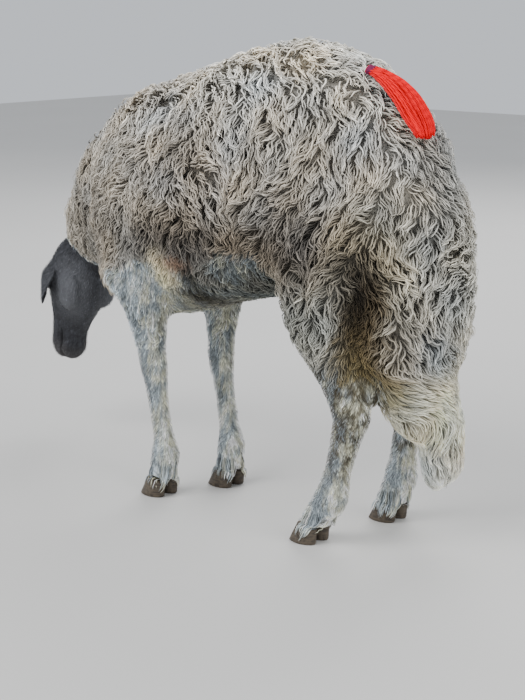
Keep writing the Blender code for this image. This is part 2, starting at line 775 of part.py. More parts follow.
def stand_on_origin():
    """Moves everything so that the origin is under the middle of the whole model's box."""
    corners = []
    for obj in bpy.data.objects:
        corners += [vertex.co for vertex in obj.data.vertices]
    middle = [
        (min(c[axis] for c in corners) + max(c[axis] for c in corners)) / 2 for axis in (0, 1)
    ]
    shift = Matrix.Translation((-middle[0], -middle[1], 0.0))
    for obj in bpy.data.objects:
        obj.data.transform(shift)
        obj.data.shade_flat()
    print("origin moved by", [round(-value, 4) for value in middle])


def main():
    clear_scene()
    place = head_matrix()
    body = build_body(place)
    trunk, head = part_body(body, place)
    build_ears(head, bpy.data.objects["neck"], place)
    build_eyes(head, place)
    build_claws()
    build_tassel(trunk)
    stand_on_origin()


if __name__ == "__main__":
    main()
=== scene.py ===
"""Looks of the standing sheep: skin, head, fleece, short hair, eyes, claws and yarn tassel.

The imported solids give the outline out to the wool's tips. One skin lies inside them by the
coat's depth, and locks of wool and tufts of hair grow from it out to that outline.
"""

from __future__ import annotations

import json
import logging
import math
from dataclasses import dataclass, field
from enum import Enum

import bmesh
import bpy
import numpy as np
from mathutils import Euler, Matrix, Vector
from mathutils.bvhtree import BVHTree
from mathutils.kdtree import KDTree

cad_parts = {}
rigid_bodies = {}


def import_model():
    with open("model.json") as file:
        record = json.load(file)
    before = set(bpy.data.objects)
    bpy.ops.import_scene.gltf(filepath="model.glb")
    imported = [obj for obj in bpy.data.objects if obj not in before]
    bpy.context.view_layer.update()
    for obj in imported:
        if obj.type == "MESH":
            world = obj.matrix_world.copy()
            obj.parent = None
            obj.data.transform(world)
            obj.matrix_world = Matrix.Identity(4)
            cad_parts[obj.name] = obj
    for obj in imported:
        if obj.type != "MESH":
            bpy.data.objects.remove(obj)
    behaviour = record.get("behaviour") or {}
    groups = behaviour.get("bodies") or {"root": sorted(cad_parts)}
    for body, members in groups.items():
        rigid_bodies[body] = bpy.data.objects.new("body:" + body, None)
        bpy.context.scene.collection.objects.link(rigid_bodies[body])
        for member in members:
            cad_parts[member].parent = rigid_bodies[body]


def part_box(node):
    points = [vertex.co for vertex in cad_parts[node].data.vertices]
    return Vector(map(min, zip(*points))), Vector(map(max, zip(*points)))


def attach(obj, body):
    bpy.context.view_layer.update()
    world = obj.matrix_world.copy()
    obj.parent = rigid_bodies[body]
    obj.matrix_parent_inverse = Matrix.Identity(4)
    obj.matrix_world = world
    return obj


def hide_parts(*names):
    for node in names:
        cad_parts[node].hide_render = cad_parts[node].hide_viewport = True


log = logging.getLogger("sheep")

UP = Vector((0.0, 0.0, 1.0))
BODY = "root"
LEFT, RIGHT = "left", "right"
SIDES = (LEFT, RIGHT)
Array = np.ndarray
Pair = tuple[float, float]
Triple = tuple[float, float, float]
BMesh = bmesh.types.BMesh
Material = bpy.types.Material
Mesh = bpy.types.Mesh
Object = bpy.types.Object
Socket = bpy.types.NodeSocket


# ---------------------------------------------------------------- small helpers
def deselect_all() -> None:
    """Leaves nothing selected, so that an operator acts on its own piece alone."""
    for obj in bpy.context.selected_objects:
        obj.select_set(False)


def activate(obj: Object) -> None:
    """Selects one object and makes it the active one.

    Args:
        obj: The object that the next operators act on.
    """
    deselect_all()
    obj.select_set(True)
    bpy.context.view_layer.objects.active = obj


def apply_modifiers(obj: Object) -> None:
    """Applies every modifier of an object, in order.

    Args:
        obj: The object whose modifiers become its mesh.
    """
    activate(obj)
    for modifier in list(obj.modifiers):
        bpy.ops.object.modifier_apply(modifier=modifier.name)


def place_mesh(obj: Object) -> None:
    """Moves an object's place, turn and scale into its mesh.

    Args:
        obj: The object that ends at the origin, unturned.
    """
    activate(obj)
    bpy.ops.object.transform_apply(location=True, rotation=True, scale=True)


def link(name: str, data: bpy.types.ID) -> Object:
    """Adds an object to the scene.

    Args:
        name: The object's name.
        data: Its mesh, lamp or camera.

    Returns:
        The new object.
    """
    obj = bpy.data.objects.new(name, data)
    bpy.context.scene.collection.objects.link(obj)
    return obj


def link_form(name: str, bm: BMesh) -> Object:
    """Adds an object made of an edited mesh, which is then freed."""
    mesh = bpy.data.meshes.new(name)
    bm.to_mesh(mesh)
    bm.free()
    return link(name, mesh)


def modify(obj: Object, kind: str, **settings: object) -> None:
    """Gives an object one more modifier, with its settings."""
    modifier = obj.modifiers.new(kind.lower(), kind)
    for key, value in settings.items():
        setattr(modifier, key, value)


def remove(obj: Object) -> None:
    """Deletes a helper object and its mesh."""
    mesh = obj.data
    bpy.data.objects.remove(obj)
    bpy.data.meshes.remove(mesh)


def read_rows(items: object, name: str, width: int, kind: type = np.int32) -> Array:
    """One property of every item of a collection, as rows.

    Args:
        items: A mesh's vertices, edges, triangles or the like.
        name: The property.
        width: How many numbers it has.
        kind: The numbers' type.

    Returns:
        A row for each item.
    """
    flat = np.empty(len(items) * width, kind)
    items.foreach_get(name, flat)
    return flat.reshape(-1, width)


def coordinates(mesh: Mesh) -> Array:
    """Every vertex's place, as rows of x, y, z."""
    return read_rows(mesh.vertices, "co", 3, np.float64)


def set_coordinates(mesh: Mesh, places: Array) -> None:
    """Moves every vertex of a mesh to its row of places."""
    mesh.vertices.foreach_set("co", np.ascontiguousarray(places, np.float32).ravel())
    mesh.update()


def vertex_normals(mesh: Mesh) -> Array:
    """Every vertex's normal, as rows of x, y, z."""
    return read_rows(mesh.vertex_normals, "vector", 3, np.float32).astype(np.float64)


def edge_pairs(mesh: Mesh) -> Array:
    """Every edge's two vertices, as rows."""
    return read_rows(mesh.edges, "vertices", 2)


def spread(values: Array, pairs: Array, passes: int) -> Array:
    """Averages a value on each vertex with its neighbours', again and again.

    Args:
        values: One number for each vertex.
        pairs: The mesh's edges.
        passes: How many times to average.

    Returns:
        The smoothed values.
    """
    count = np.bincount(pairs.ravel(), minlength=len(values)) + 1.0
    for _ in range(passes):
        total = values.copy()
        total += np.bincount(pairs[:, 0], values[pairs[:, 1]], len(values))
        total += np.bincount(pairs[:, 1], values[pairs[:, 0]], len(values))
        values = total / count
    return values


def unit(rows: Array) -> Array:
    """Rows scaled to length 1."""
    return rows / np.maximum(np.linalg.norm(rows, axis=-1, keepdims=True), 1e-9)


def ramp(value: Array, low: float, high: float) -> Array:
    """A smooth step from 0 at low to 1 at high."""
    share = np.clip((value - low) / (high - low), 0.0, 1.0)
    return share * share * (3.0 - 2.0 * share)


class Ripple:
    """A smooth random field in space, made of a few waves in random directions."""

    def __init__(self, seed: int, scale: float, waves: int = 9) -> None:
        """Chooses the waves.

        Args:
            seed: The same seed gives the same field.
            scale: The size of the field's bumps, in metres.
            waves: How many waves are summed.
        """
        rng = np.random.default_rng(seed)
        directions = unit(rng.normal(size=(waves, 3)))
        lengths = 2.0 * math.pi / scale * rng.uniform(0.55, 1.45, (waves, 1))
        self.waves = directions * lengths
        self.phases = rng.uniform(0.0, 2.0 * math.pi, waves)

    def at(self, points: Array) -> Array:
        """The field's value at each point, mostly between -1 and 1."""
        return np.sin(points @ self.waves.T + self.phases).sum(axis=-1) / math.sqrt(len(self.phases))


def spot(node: str, x: float, y: float, z: float) -> Array:
    """A point given by its shares of a node's box.

    Args:
        node: The node's name.
        x: Share of the way from the box's low x to its high x.
        y: The same along y.
        z: The same along z.

    Returns:
        The point, in metres.
    """
    low, high = (np.array(corner, float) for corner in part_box(node))
    return low + (high - low) * np.array((x, y, z))


# ---------------------------------------------------------------- the head's own frame
@dataclass(frozen=True)
class HeadFrame:
    """X towards the nose, Y to the head's left, Z out of the forehead; zero at the poll."""

    pitch: float = math.radians(62.0)
    eye: Triple = (0.086, 0.0420, -0.026)
    gaze: Triple = (0.24, 0.93, 0.22)

    def matrix(self) -> Matrix:
        """The turn and place of the head, read from where the two eyes are.

        Returns:
            The matrix from the head's frame to the sheep's.
        """
        eyes = {side: Vector(spot(f"eye_{side}", 0.5, 0.5, 0.5)) for side in SIDES}
        left = eyes[LEFT] - eyes[RIGHT]
        left.z = 0.0
        left.normalize()
        ahead = left.cross(UP)
        nose = ahead * math.cos(self.pitch) - UP * math.sin(self.pitch)
        forehead = ahead * math.sin(self.pitch) + UP * math.cos(self.pitch)
        turned = Matrix((nose, left, forehead)).transposed().to_4x4()
        middle = (eyes[LEFT] + eyes[RIGHT]) / 2
        poll = middle - nose * self.eye[0] - forehead * self.eye[2]
        return Matrix.Translation(poll) @ turned

    def to_head(self, points: Array) -> Array:
        """The points' places in the head's frame."""
        back = np.array(self.matrix().inverted())
        return points @ back[:3, :3].T + back[:3, 3]

    def folded(self, points: Array) -> Array:
        """The points' places in the head's frame, with its right half mirrored onto its left."""
        local = self.to_head(points)
        local[:, 1] = np.abs(local[:, 1])
        return local

    def from_head(self, points: Array) -> Array:
        """The sheep's places of points that are given in the head's frame."""
        out = np.array(self.matrix())
        return points @ out[:3, :3].T + out[:3, 3]


HEAD = HeadFrame()


@dataclass(frozen=True)
class Muzzle:
    """Where the nostrils and the mouth are, in the head's frame, on the side where Y is positive."""

    nostril: Triple = (0.2360, 0.0135, -0.0480)
    slant: Triple = (-0.30, 0.65, 0.70)
    half_length: float = 0.0088
    corner: float = 0.168

    def slit(self, points: Array) -> tuple[Array, Array]:
        """How far points are along the nostril's slit and away from it."""
        along = unit(np.array(self.slant))
        offset = points - np.array(self.nostril)
        run = offset @ along
        bend = 0.0022 * (run / self.half_length) ** 2
        across = offset - run[:, None] * along
        across[:, 2] -= bend
        return run, np.linalg.norm(across, axis=1)

    def lips(self, points: Array) -> Array:
        """How far points are above the line where the lips meet."""
        return points[:, 2] + 0.0745 - 0.010 * ramp(-points[:, 0], -0.236, -0.180)


MUZZLE = Muzzle()


# ---------------------------------------------------------------- the colours of the coat
@dataclass(frozen=True)
class Zone:
    """A soft-edged patch of the coat, and the colour laid over it there."""

    centre: Array
    reach: Triple
    colour: Triple = (0.0, 0.0, 0.0)
    strength: float = 1.0

    def weight(self, points: Array) -> Array:
        """How much of the zone's colour each point takes."""
        distance = (((points - self.centre) / np.array(self.reach)) ** 2).sum(axis=1)
        return self.strength * np.exp(-(distance**1.5))


def brisket() -> Zone:
    """Where the fleece hangs down before the forelegs."""
    return Zone(spot("trunk", 0.14, 0.5, 0.165), (0.060, 0.16, 0.048))


@dataclass
class Markings:
    """Where the coat is grey, cream, brown, stained or charcoal, with painted light and painted shade in
    places; skin and coat both read it.
    """

    fleece: Triple = (0.50, 0.465, 0.405)
    leg: Triple = (0.295, 0.335, 0.360)
    sock: Triple = (0.74, 0.725, 0.56)
    face: Triple = (0.030, 0.031, 0.037)
    zones: list[Zone] = field(default_factory=list)
    stains_and_shade: list[Zone] = field(default_factory=list)

    def __post_init__(self) -> None:
        """Lays the zones out over the sheep, and the stains and painted shade that lie over them."""

        def stain_and_shade(node: str, x: float, y: float, z: float, *look: object) -> None:
            self.stains_and_shade.append(Zone(spot(node, x, y, z), *look))

        def add(node: str, x: float, y: float, z: float, *look: object) -> None:
            self.zones.append(Zone(spot(node, x, y, z), *look))

        # Darker under the belly and the chest.
        stain_and_shade("trunk", 0.60, 0.5, 0.12, (0.155, 0.30, 0.090), (0.105, 0.117, 0.106), 0.85)
        stain_and_shade("trunk", 0.42, 0.5, 0.02, (0.075, 0.25, 0.055), (0.085, 0.070, 0.050), 0.85)
        for y in (0.10, 0.90):
            stain_and_shade("trunk", 0.370, y, 0.215, (0.022, 0.040, 0.044), (0.88, 0.77, 0.53), 0.96)
            stain_and_shade("trunk", 0.354, y, 0.140, (0.016, 0.036, 0.046), (0.84, 0.80, 0.54), 0.93)
            stain_and_shade("trunk", 0.412, y, 0.262, (0.026, 0.040, 0.017), (0.38, 0.235, 0.155), 0.9)
            # Painted shade: near-black in the hollow of the armpit, and under the chest between the legs.
            stain_and_shade("trunk", 0.434, y, 0.200, (0.017, 0.040, 0.034), (0.018, 0.015, 0.011), 0.95)
            inwards = 0.5 + 0.66 * (y - 0.5)
            stain_and_shade("trunk", 0.412, inwards, 0.12, (0.030, 0.038, 0.026), (0.034, 0.029, 0.018), 0.93)
        for leg, inner, cleft in ((LEFT, 0.10, 0.05), (RIGHT, 0.90, 0.70)):
            for x, z, reach, colour in (
                (0.26, 0.52, 0.085, (0.036, 0.025, 0.013)),
                (0.20, 0.24, 0.055, (0.092, 0.068, 0.028)),
                (0.28, 0.10, 0.036, (0.235, 0.185, 0.075)),
            ):
                stain_and_shade("tail_upper", x, inner, z, (0.034, 0.045, reach), colour, 0.9)
            thigh = f"hindleg_{leg}_upper"
            stain_and_shade(thigh, 0.97, 0.5, 0.30, (0.040, 0.05, 0.07), (0.125, 0.09, 0.045), 0.85)
            # Painted shade: a near-black strip in the cleft between the tail and the thigh.
            stain_and_shade("tail_upper", 0.22, cleft, 0.42, (0.018, 0.035, 0.048), (0.012, 0.008, 0.005), 0.93)
        add("trunk", 0.62, 0.5, 0.98, (0.30, 0.16, 0.12), (0.78, 0.745, 0.66), 0.88)
        # Neck: a warm tone, darkened further as painted shade on this side.
        add("neck", 0.45, 0.1, 0.40, (0.15, 0.14, 0.17), (0.26, 0.232, 0.190), 0.85)
        add("trunk", 0.12, 0.5, 0.30, (0.09, 0.20, 0.07), (0.23, 0.195, 0.150), 0.85)
        for y in (0.0, 1.0):
            add("trunk", 0.45, y, 0.60, (0.13, 0.09, 0.075), (0.37, 0.335, 0.290), 0.8)
            add("trunk", 0.12, y, 0.50, (0.08, 0.10, 0.10), (0.34, 0.312, 0.272), 0.85)
        for y, leg in ((0.0, LEFT), (1.0, RIGHT)):
            thigh = f"hindleg_{leg}_upper"
            # Lower flank: a brown tone, darkened further as painted shade towards the bottom of the side.
            add("trunk", 0.44, y, 0.345, (0.155, 0.09, 0.060), (0.076, 0.060, 0.047), 0.92)
            add("trunk", 0.64, y, 0.37, (0.08, 0.09, 0.050), (0.24, 0.185, 0.125), 0.85)
            add(thigh, 0.55, y, 0.69, (0.085, 0.07, 0.085), (0.080, 0.060, 0.044), 0.93)
            add(thigh, 0.72, y, 0.28, (0.08, 0.06, 0.08), (0.56, 0.55, 0.47), 0.8)
            # Croup: painted light, pale where light falls on the top of the rump.
            add("trunk", 0.99, y, 0.72, (0.07, 0.10, 0.09), (0.88, 0.85, 0.77), 0.9)
            add("trunk", 0.97, y, 0.36, (0.09, 0.09, 0.09), (0.42, 0.375, 0.275), 0.75)
        add("trunk", 0.47, 0.5, 0.02, (0.22, 0.15, 0.075), (0.16, 0.17, 0.155), 0.9)
        add("tail_upper", 0.5, 0.10, 0.65, (0.06, 0.06, 0.11), (0.42, 0.385, 0.29), 0.8)
        add("tail_upper", 0.9, 0.70, 0.5, (0.08, 0.12, 0.18), (0.48, 0.48, 0.43), 0.7)
        add("tail_lower", 0.6, 0.5, 0.5, (0.09, 0.10, 0.080), (0.90, 0.87, 0.70), 0.95)
        add("tail_lower", 0.30, 0.12, 0.95, (0.035, 0.05, 0.030), (0.50, 0.41, 0.17), 0.8)
        add("tail_tip", 0.5, 0.5, 0.3, (0.07, 0.08, 0.08), (0.86, 0.83, 0.72), 0.98)

    def colours(self, points: Array, kind: Array) -> Array:
        """The coat's colour at each point.

        Args:
            points: Places on the skin.
            kind: For each point 0 on wool, 1 on a leg's short hair and 2 on the head, with
                shares between where one blends into the next.

        Returns:
            Rows of red, green and blue.
        """
        colour = np.tile(np.array(self.fleece), (len(points), 1))
        colour = self._lay(colour, self.zones, points)
        uneven = 1.0 + 0.10 * Ripple(11, 0.12).at(points) + 0.08 * Ripple(12, 0.03).at(points)
        colour = colour * uneven[:, None]
        warm = 0.05 * Ripple(13, 0.09).at(points)[:, None]
        colour = colour * (1.0 + warm * np.array((1.0, 0.2, -1.0)))
        colour = self._mix(colour, self._leg_colours(points), ramp(kind, 0.15, 0.85))
        colour = self._lay(colour, self.stains_and_shade, points)
        colour = self._mix(colour, self._face_colours(points), ramp(kind, 1.25, 1.75))
        return np.clip(colour, 0.004, 0.9)

    @staticmethod
    def _lay(colour: Array, zones: object, points: Array) -> Array:
        """Lays zones over the points' colours, one after another."""
        for zone in zones:
            weight = zone.weight(points)[:, None]
            colour = colour * (1 - weight) + np.array(zone.colour) * weight
        return colour

    @staticmethod
    def _mix(first: Array, second: Array, share: Array) -> Array:
        """Blends two lists of colours."""
        return first * (1 - share[:, None]) + second * share[:, None]

    @staticmethod
    def _toward_lit_side(points: Array) -> Array:
        """How far each point is behind and right of its leg's middle line, in metres; that way runs across
        the camera's view, to the side of the legs that is painted lit.
        """
        lines = []
        for leg in Flesh.LEGS:
            for side in SIDES:
                boxes = [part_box(f"{leg}_{side}_{part}") for part in reversed(Flesh.LENGTHS)]
                rows = np.array([(np.array(low) + np.array(high)) / 2 for low, high in boxes])
                lines.append([np.interp(points[:, 2], rows[:, 2], rows[:, axis]) for axis in (0, 1)])
        offsets = points[:, :2, None] - np.array(lines).transpose(2, 1, 0)
        nearest = np.linalg.norm(offsets, axis=1).argmin(1)
        return offsets[np.arange(len(points)), :, nearest] @ np.array((0.755, 0.655))

    def _leg_colours(self, points: Array) -> Array:
        """Blue-grey legs, cream at the feet and, as painted light, on each leg's side behind and to the
        right, with brown dirt round the hocks.
        """
        grain = points * np.array((1.0, 1.0, 0.42))
        fine_grain = points * np.array((1.0, 1.0, 0.6))
        mottle = 0.55 * Ripple(21, 0.020).at(grain) + 0.9 * Ripple(22, 0.0060).at(fine_grain)
        white = ramp(-points[:, 2], -0.26, -0.05)
        # Painted light: on top of the mottled blue-grey and cream, each leg's side behind and to the
        # right, across the camera's view, is pushed to cream.
        lit_side = np.tanh(self._toward_lit_side(points) / 0.014) * (1.0 - ramp(points[:, 2], 0.30, 0.38))
        cream = 0.7 * Ripple(24, 0.026).at(grain) + 0.7 * Ripple(25, 0.009).at(grain)
        cream = cream + 0.4 * white + 0.9 * lit_side
        cream = ramp(cream, -0.6, 1.9)[:, None]
        colour = np.array(self.leg) * (1 - cream) + np.array(self.sock) * cream
        colour = colour * np.exp(0.42 * mottle + 0.40 * white)[:, None]
        shoulder = ramp(points[:, 2], 0.22, 0.30) * (1.0 - ramp(points[:, 0], 0.03, 0.09))
        colour = colour * (1.0 + 0.45 * shoulder[:, None])
        hock = ramp(points[:, 0], 0.20, 0.26) * ramp(points[:, 2], 0.08, 0.14)
        hock = hock * (1 - ramp(points[:, 2], 0.30, 0.36))
        specks = 0.6 * Ripple(26, 0.020).at(points) + 0.8 * Ripple(27, 0.0075).at(points)
        dirt = 0.9 * (hock * ramp(specks, -0.9, 0.7))[:, None]
        return colour * (1 - dirt) + dirt * np.array((0.080, 0.062, 0.034))

    def _face_colours(self, points: Array) -> Array:
        """A charcoal face with a blue-grey cheek, paler round the eyes and on the muzzle, with painted
        shade in the nostrils and along the mouth.
        """
        local = HEAD.folded(points)
        mottle = 0.25 * Ripple(31, 0.02).at(points) + 0.30 * Ripple(32, 0.007).at(points)
        base = np.array(self.face) * np.exp(mottle)[:, None]
        seen = np.abs(HEAD.to_head(spot("head", 0.45, 0.12, 0.53)[None])[0]) * np.array((1.0, 1.0, -1.0))
        cheek = Zone(seen, (0.070, 0.045, 0.050), (0.145, 0.150, 0.165), 0.75)
        muzzle = Zone(np.array((0.226, 0.0, -0.062)), (0.030, 0.04, 0.030), (0.075, 0.070, 0.070))
        brow = Zone(np.array((0.083, 0.040, -0.004)), (0.020, 0.02, 0.010), (0.060, 0.058, 0.060))
        base = self._lay(base, (cheek, muzzle, brow), local)
        # Painted shade: darkened in the nostril slits and along the line where the lips meet.
        run, far = MUZZLE.slit(local)
        nostril_shade = np.exp(-((far / 0.0036) ** 4)) * np.exp(-((run / (MUZZLE.half_length * 1.05)) ** 4))
        before = ramp(local[:, 0], MUZZLE.corner - 0.004, MUZZLE.corner + 0.01)
        lips = np.exp(-((MUZZLE.lips(local) / 0.0016) ** 2)) * before
        return base * (1.0 - 0.88 * np.maximum(nostril_shade, 0.8 * lips))[:, None]


# ---------------------------------------------------------------- materials
class Nodes:
    """A short way to build a material's nodes."""

    INPUTS = {
        "roughness": "Roughness",
        "specular": "Specular IOR Level",
        "coat": "Coat Weight",
        "coat_roughness": "Coat Roughness",
    }

    def __init__(self, name: str) -> None:
        """Starts a material that has one Principled shader."""
        self.material = bpy.data.materials.new(name)
        self.material.use_nodes = True
        self.tree = self.material.node_tree
        self.shader = self.tree.nodes["Principled BSDF"]

    def add(self, kind: str, **values: object) -> bpy.types.Node:
        """Adds a node and sets its properties."""
        node = self.tree.nodes.new(kind)
        for key, value in values.items():
            setattr(node, key, value)
        return node

    def join(self, source: Socket, target: Socket) -> None:
        """Links two sockets."""
        self.tree.links.new(source, target)

    def maths(self, operation: str, first: object, second: object = 0.0) -> Socket:
        """A Math node of two values or sockets."""
        node = self.add("ShaderNodeMath", operation=operation)
        for socket, value in zip(node.inputs, (first, second)):
            if isinstance(value, Socket):
                self.join(value, socket)
            else:
                socket.default_value = value
        return node.outputs[0]

    def read(self, attribute: str, output: str) -> Socket:
        """A mesh attribute, as its Color or its Fac."""
        return self.add("ShaderNodeAttribute", attribute_name=attribute).outputs[output]

    def strand(self) -> Socket:
        """The map that runs round and along each lock or thread."""
        return self.add("ShaderNodeUVMap", uv_map="Strand").outputs["UV"]

    def place(self) -> Socket:
        """Each point's place in its object."""
        return self.add("ShaderNodeTexCoord").outputs["Object"]

    def scaled(self, vector: object, scale: tuple) -> Socket:
        """A vector stretched along each axis."""
        node = self.add("ShaderNodeMapping")
        node.inputs["Scale"].default_value = scale
        self.join(vector, node.inputs["Vector"])
        return node.outputs["Vector"]

    def parts(self, vector: object) -> tuple:
        """A vector's X and Y."""
        node = self.add("ShaderNodeSeparateXYZ")
        self.join(vector, node.inputs[0])
        return node.outputs[0], node.outputs[1]

    def greys(self, value: object, *stops: Pair) -> Socket:
        """A ramp of greys; stops are pairs of place and brightness."""
        return self.colours(value, tuple((place, (grey,) * 3) for place, grey in stops))

    def finish(self, colour: object, **surface: float) -> Material:
        """Gives the surface its colour and its numbers.

        Args:
            colour: The socket that colours it.
            **surface: Values for the inputs that INPUTS names.

        Returns:
            The finished material.
        """
        self.join(colour, self.shader.inputs["Base Color"])
        for key, value in surface.items():
            self.shader.inputs[self.INPUTS[key]].default_value = value
        return self.material

    def noise(self, vector: object, scale: float, detail: float = 2.0) -> Socket:
        """A noise texture's value."""
        node = self.add("ShaderNodeTexNoise")
        node.inputs["Scale"].default_value = scale
        node.inputs["Detail"].default_value = detail
        self.join(vector, node.inputs["Vector"])
        return node.outputs["Fac"]

    def colours(self, value: object, stops: tuple) -> Socket:
        """A colour ramp; stops are pairs of place and colour."""
        node = self.add("ShaderNodeValToRGB")
        elements = node.color_ramp.elements
        while len(elements) < len(stops):
            elements.new(0.5)
        for element, (place, colour) in zip(elements, stops):
            element.position = place
            element.color = (*colour, 1.0)
        self.join(value, node.inputs["Fac"])
        return node.outputs["Color"]

    def mix(self, kind: str, share: object, first: object, second: object) -> Socket:
        """A Mix node of two colours."""
        node = self.add("ShaderNodeMix", data_type="RGBA", blend_type=kind)
        for socket, value in ((node.inputs[0], share), (node.inputs[6], first), (node.inputs[7], second)):
            if isinstance(value, Socket):
                self.join(value, socket)
            else:
                socket.default_value = value
        return node.outputs[2]

    def bump(self, height: object, strength: float, distance: float) -> None:
        """Roughens the surface with a height."""
        node = self.add("ShaderNodeBump")
        node.inputs["Strength"].default_value = strength
        node.inputs["Distance"].default_value = distance
        self.join(height, node.inputs["Height"])
        self.join(node.outputs["Normal"], self.shader.inputs["Normal"])


@dataclass(frozen=True)
class CoatFinish:
    """The look of locks and tufts: dark at the root as painted shade deep in the coat, pale at the tip,
    partly as painted light, streaked along.
    """

    name: str
    root: float
    middle: float
    tip: float
    roughness: float = 0.78
    streaks: float = 0.42

    def make(self) -> Material:
        """Builds the material.

        Returns:
            A material that reads the attributes coat_colour and along, and the map Strand.
        """
        nodes = Nodes(self.name)
        along = nodes.read("along", "Fac")
        # Painted shade towards the root and painted light towards the tip.
        shade = nodes.greys(along, (0.0, self.root), (0.55, self.middle), (1.0, self.tip))
        fibres = nodes.noise(nodes.scaled(nodes.strand(), (3.2, 0.5, 1.0)), 3.0, 3.0)
        streak = nodes.greys(fibres, (0.30, 1.0 - self.streaks), (0.70, 1.0 + self.streaks))
        base = nodes.mix("MULTIPLY", 1.0, nodes.read("coat_colour", "Color"), shade)
        base = nodes.mix("MULTIPLY", 1.0, base, streak)
        nodes.bump(fibres, 0.6, 0.0009)
        return nodes.finish(base, roughness=self.roughness, specular=0.30)


@dataclass(frozen=True)
class SkinFinish:
    """The skin: matted wool where the fleece covers it, darkened there as painted shade under the locks,
    flat short hair on legs and face.
    """

    name: str = "skin_and_short_hair"

    def make(self) -> Material:
        """Builds the material.

        Returns:
            A material that reads the attributes coat_colour and shown.
        """
        nodes = Nodes(self.name)
        place = nodes.place()
        hair = nodes.noise(nodes.scaled(place, (1.0, 1.0, 0.28)), 900.0, 3.0)
        clumps = nodes.noise(place, 130.0, 3.0)
        # Painted shade: darker where the fleece covers the skin.
        shade = nodes.greys(nodes.read("shown", "Fac"), (0.0, 0.58), (1.0, 0.95))
        streak = nodes.greys(hair, (0.30, 0.55), (0.70, 1.35))
        base = nodes.mix("MULTIPLY", 1.0, nodes.read("coat_colour", "Color"), shade)
        base = nodes.mix("MULTIPLY", 1.0, base, streak)
        nodes.bump(nodes.maths("ADD", hair, nodes.maths("MULTIPLY", clumps, 1.4)), 0.6, 0.0012)
        return nodes.finish(base, roughness=0.72, specular=0.35)


# ---------------------------------------------------------------- the skin
class Flesh:
    """The nodes of flesh that the one skin stands for."""

    LEGS = ("foreleg", "hindleg")
    LENGTHS = ("upper", "shank", "foot")

    @classmethod
    def names(cls) -> list[str]:
        """Every flesh node, in a fixed order."""
        legs = [f"{leg}_{side}_{part}" for leg in cls.LEGS for side in SIDES for part in cls.LENGTHS]
        ears = [f"ear_{side}" for side in SIDES]
        return ["trunk", "neck", "head", "tail_upper", "tail_lower", "tail_tip", *legs, *ears]

    @classmethod
    def body(cls) -> list[str]:
        """The flesh nodes without the ears, in the same order."""
        return [name for name in cls.names() if not name.startswith("ear")]


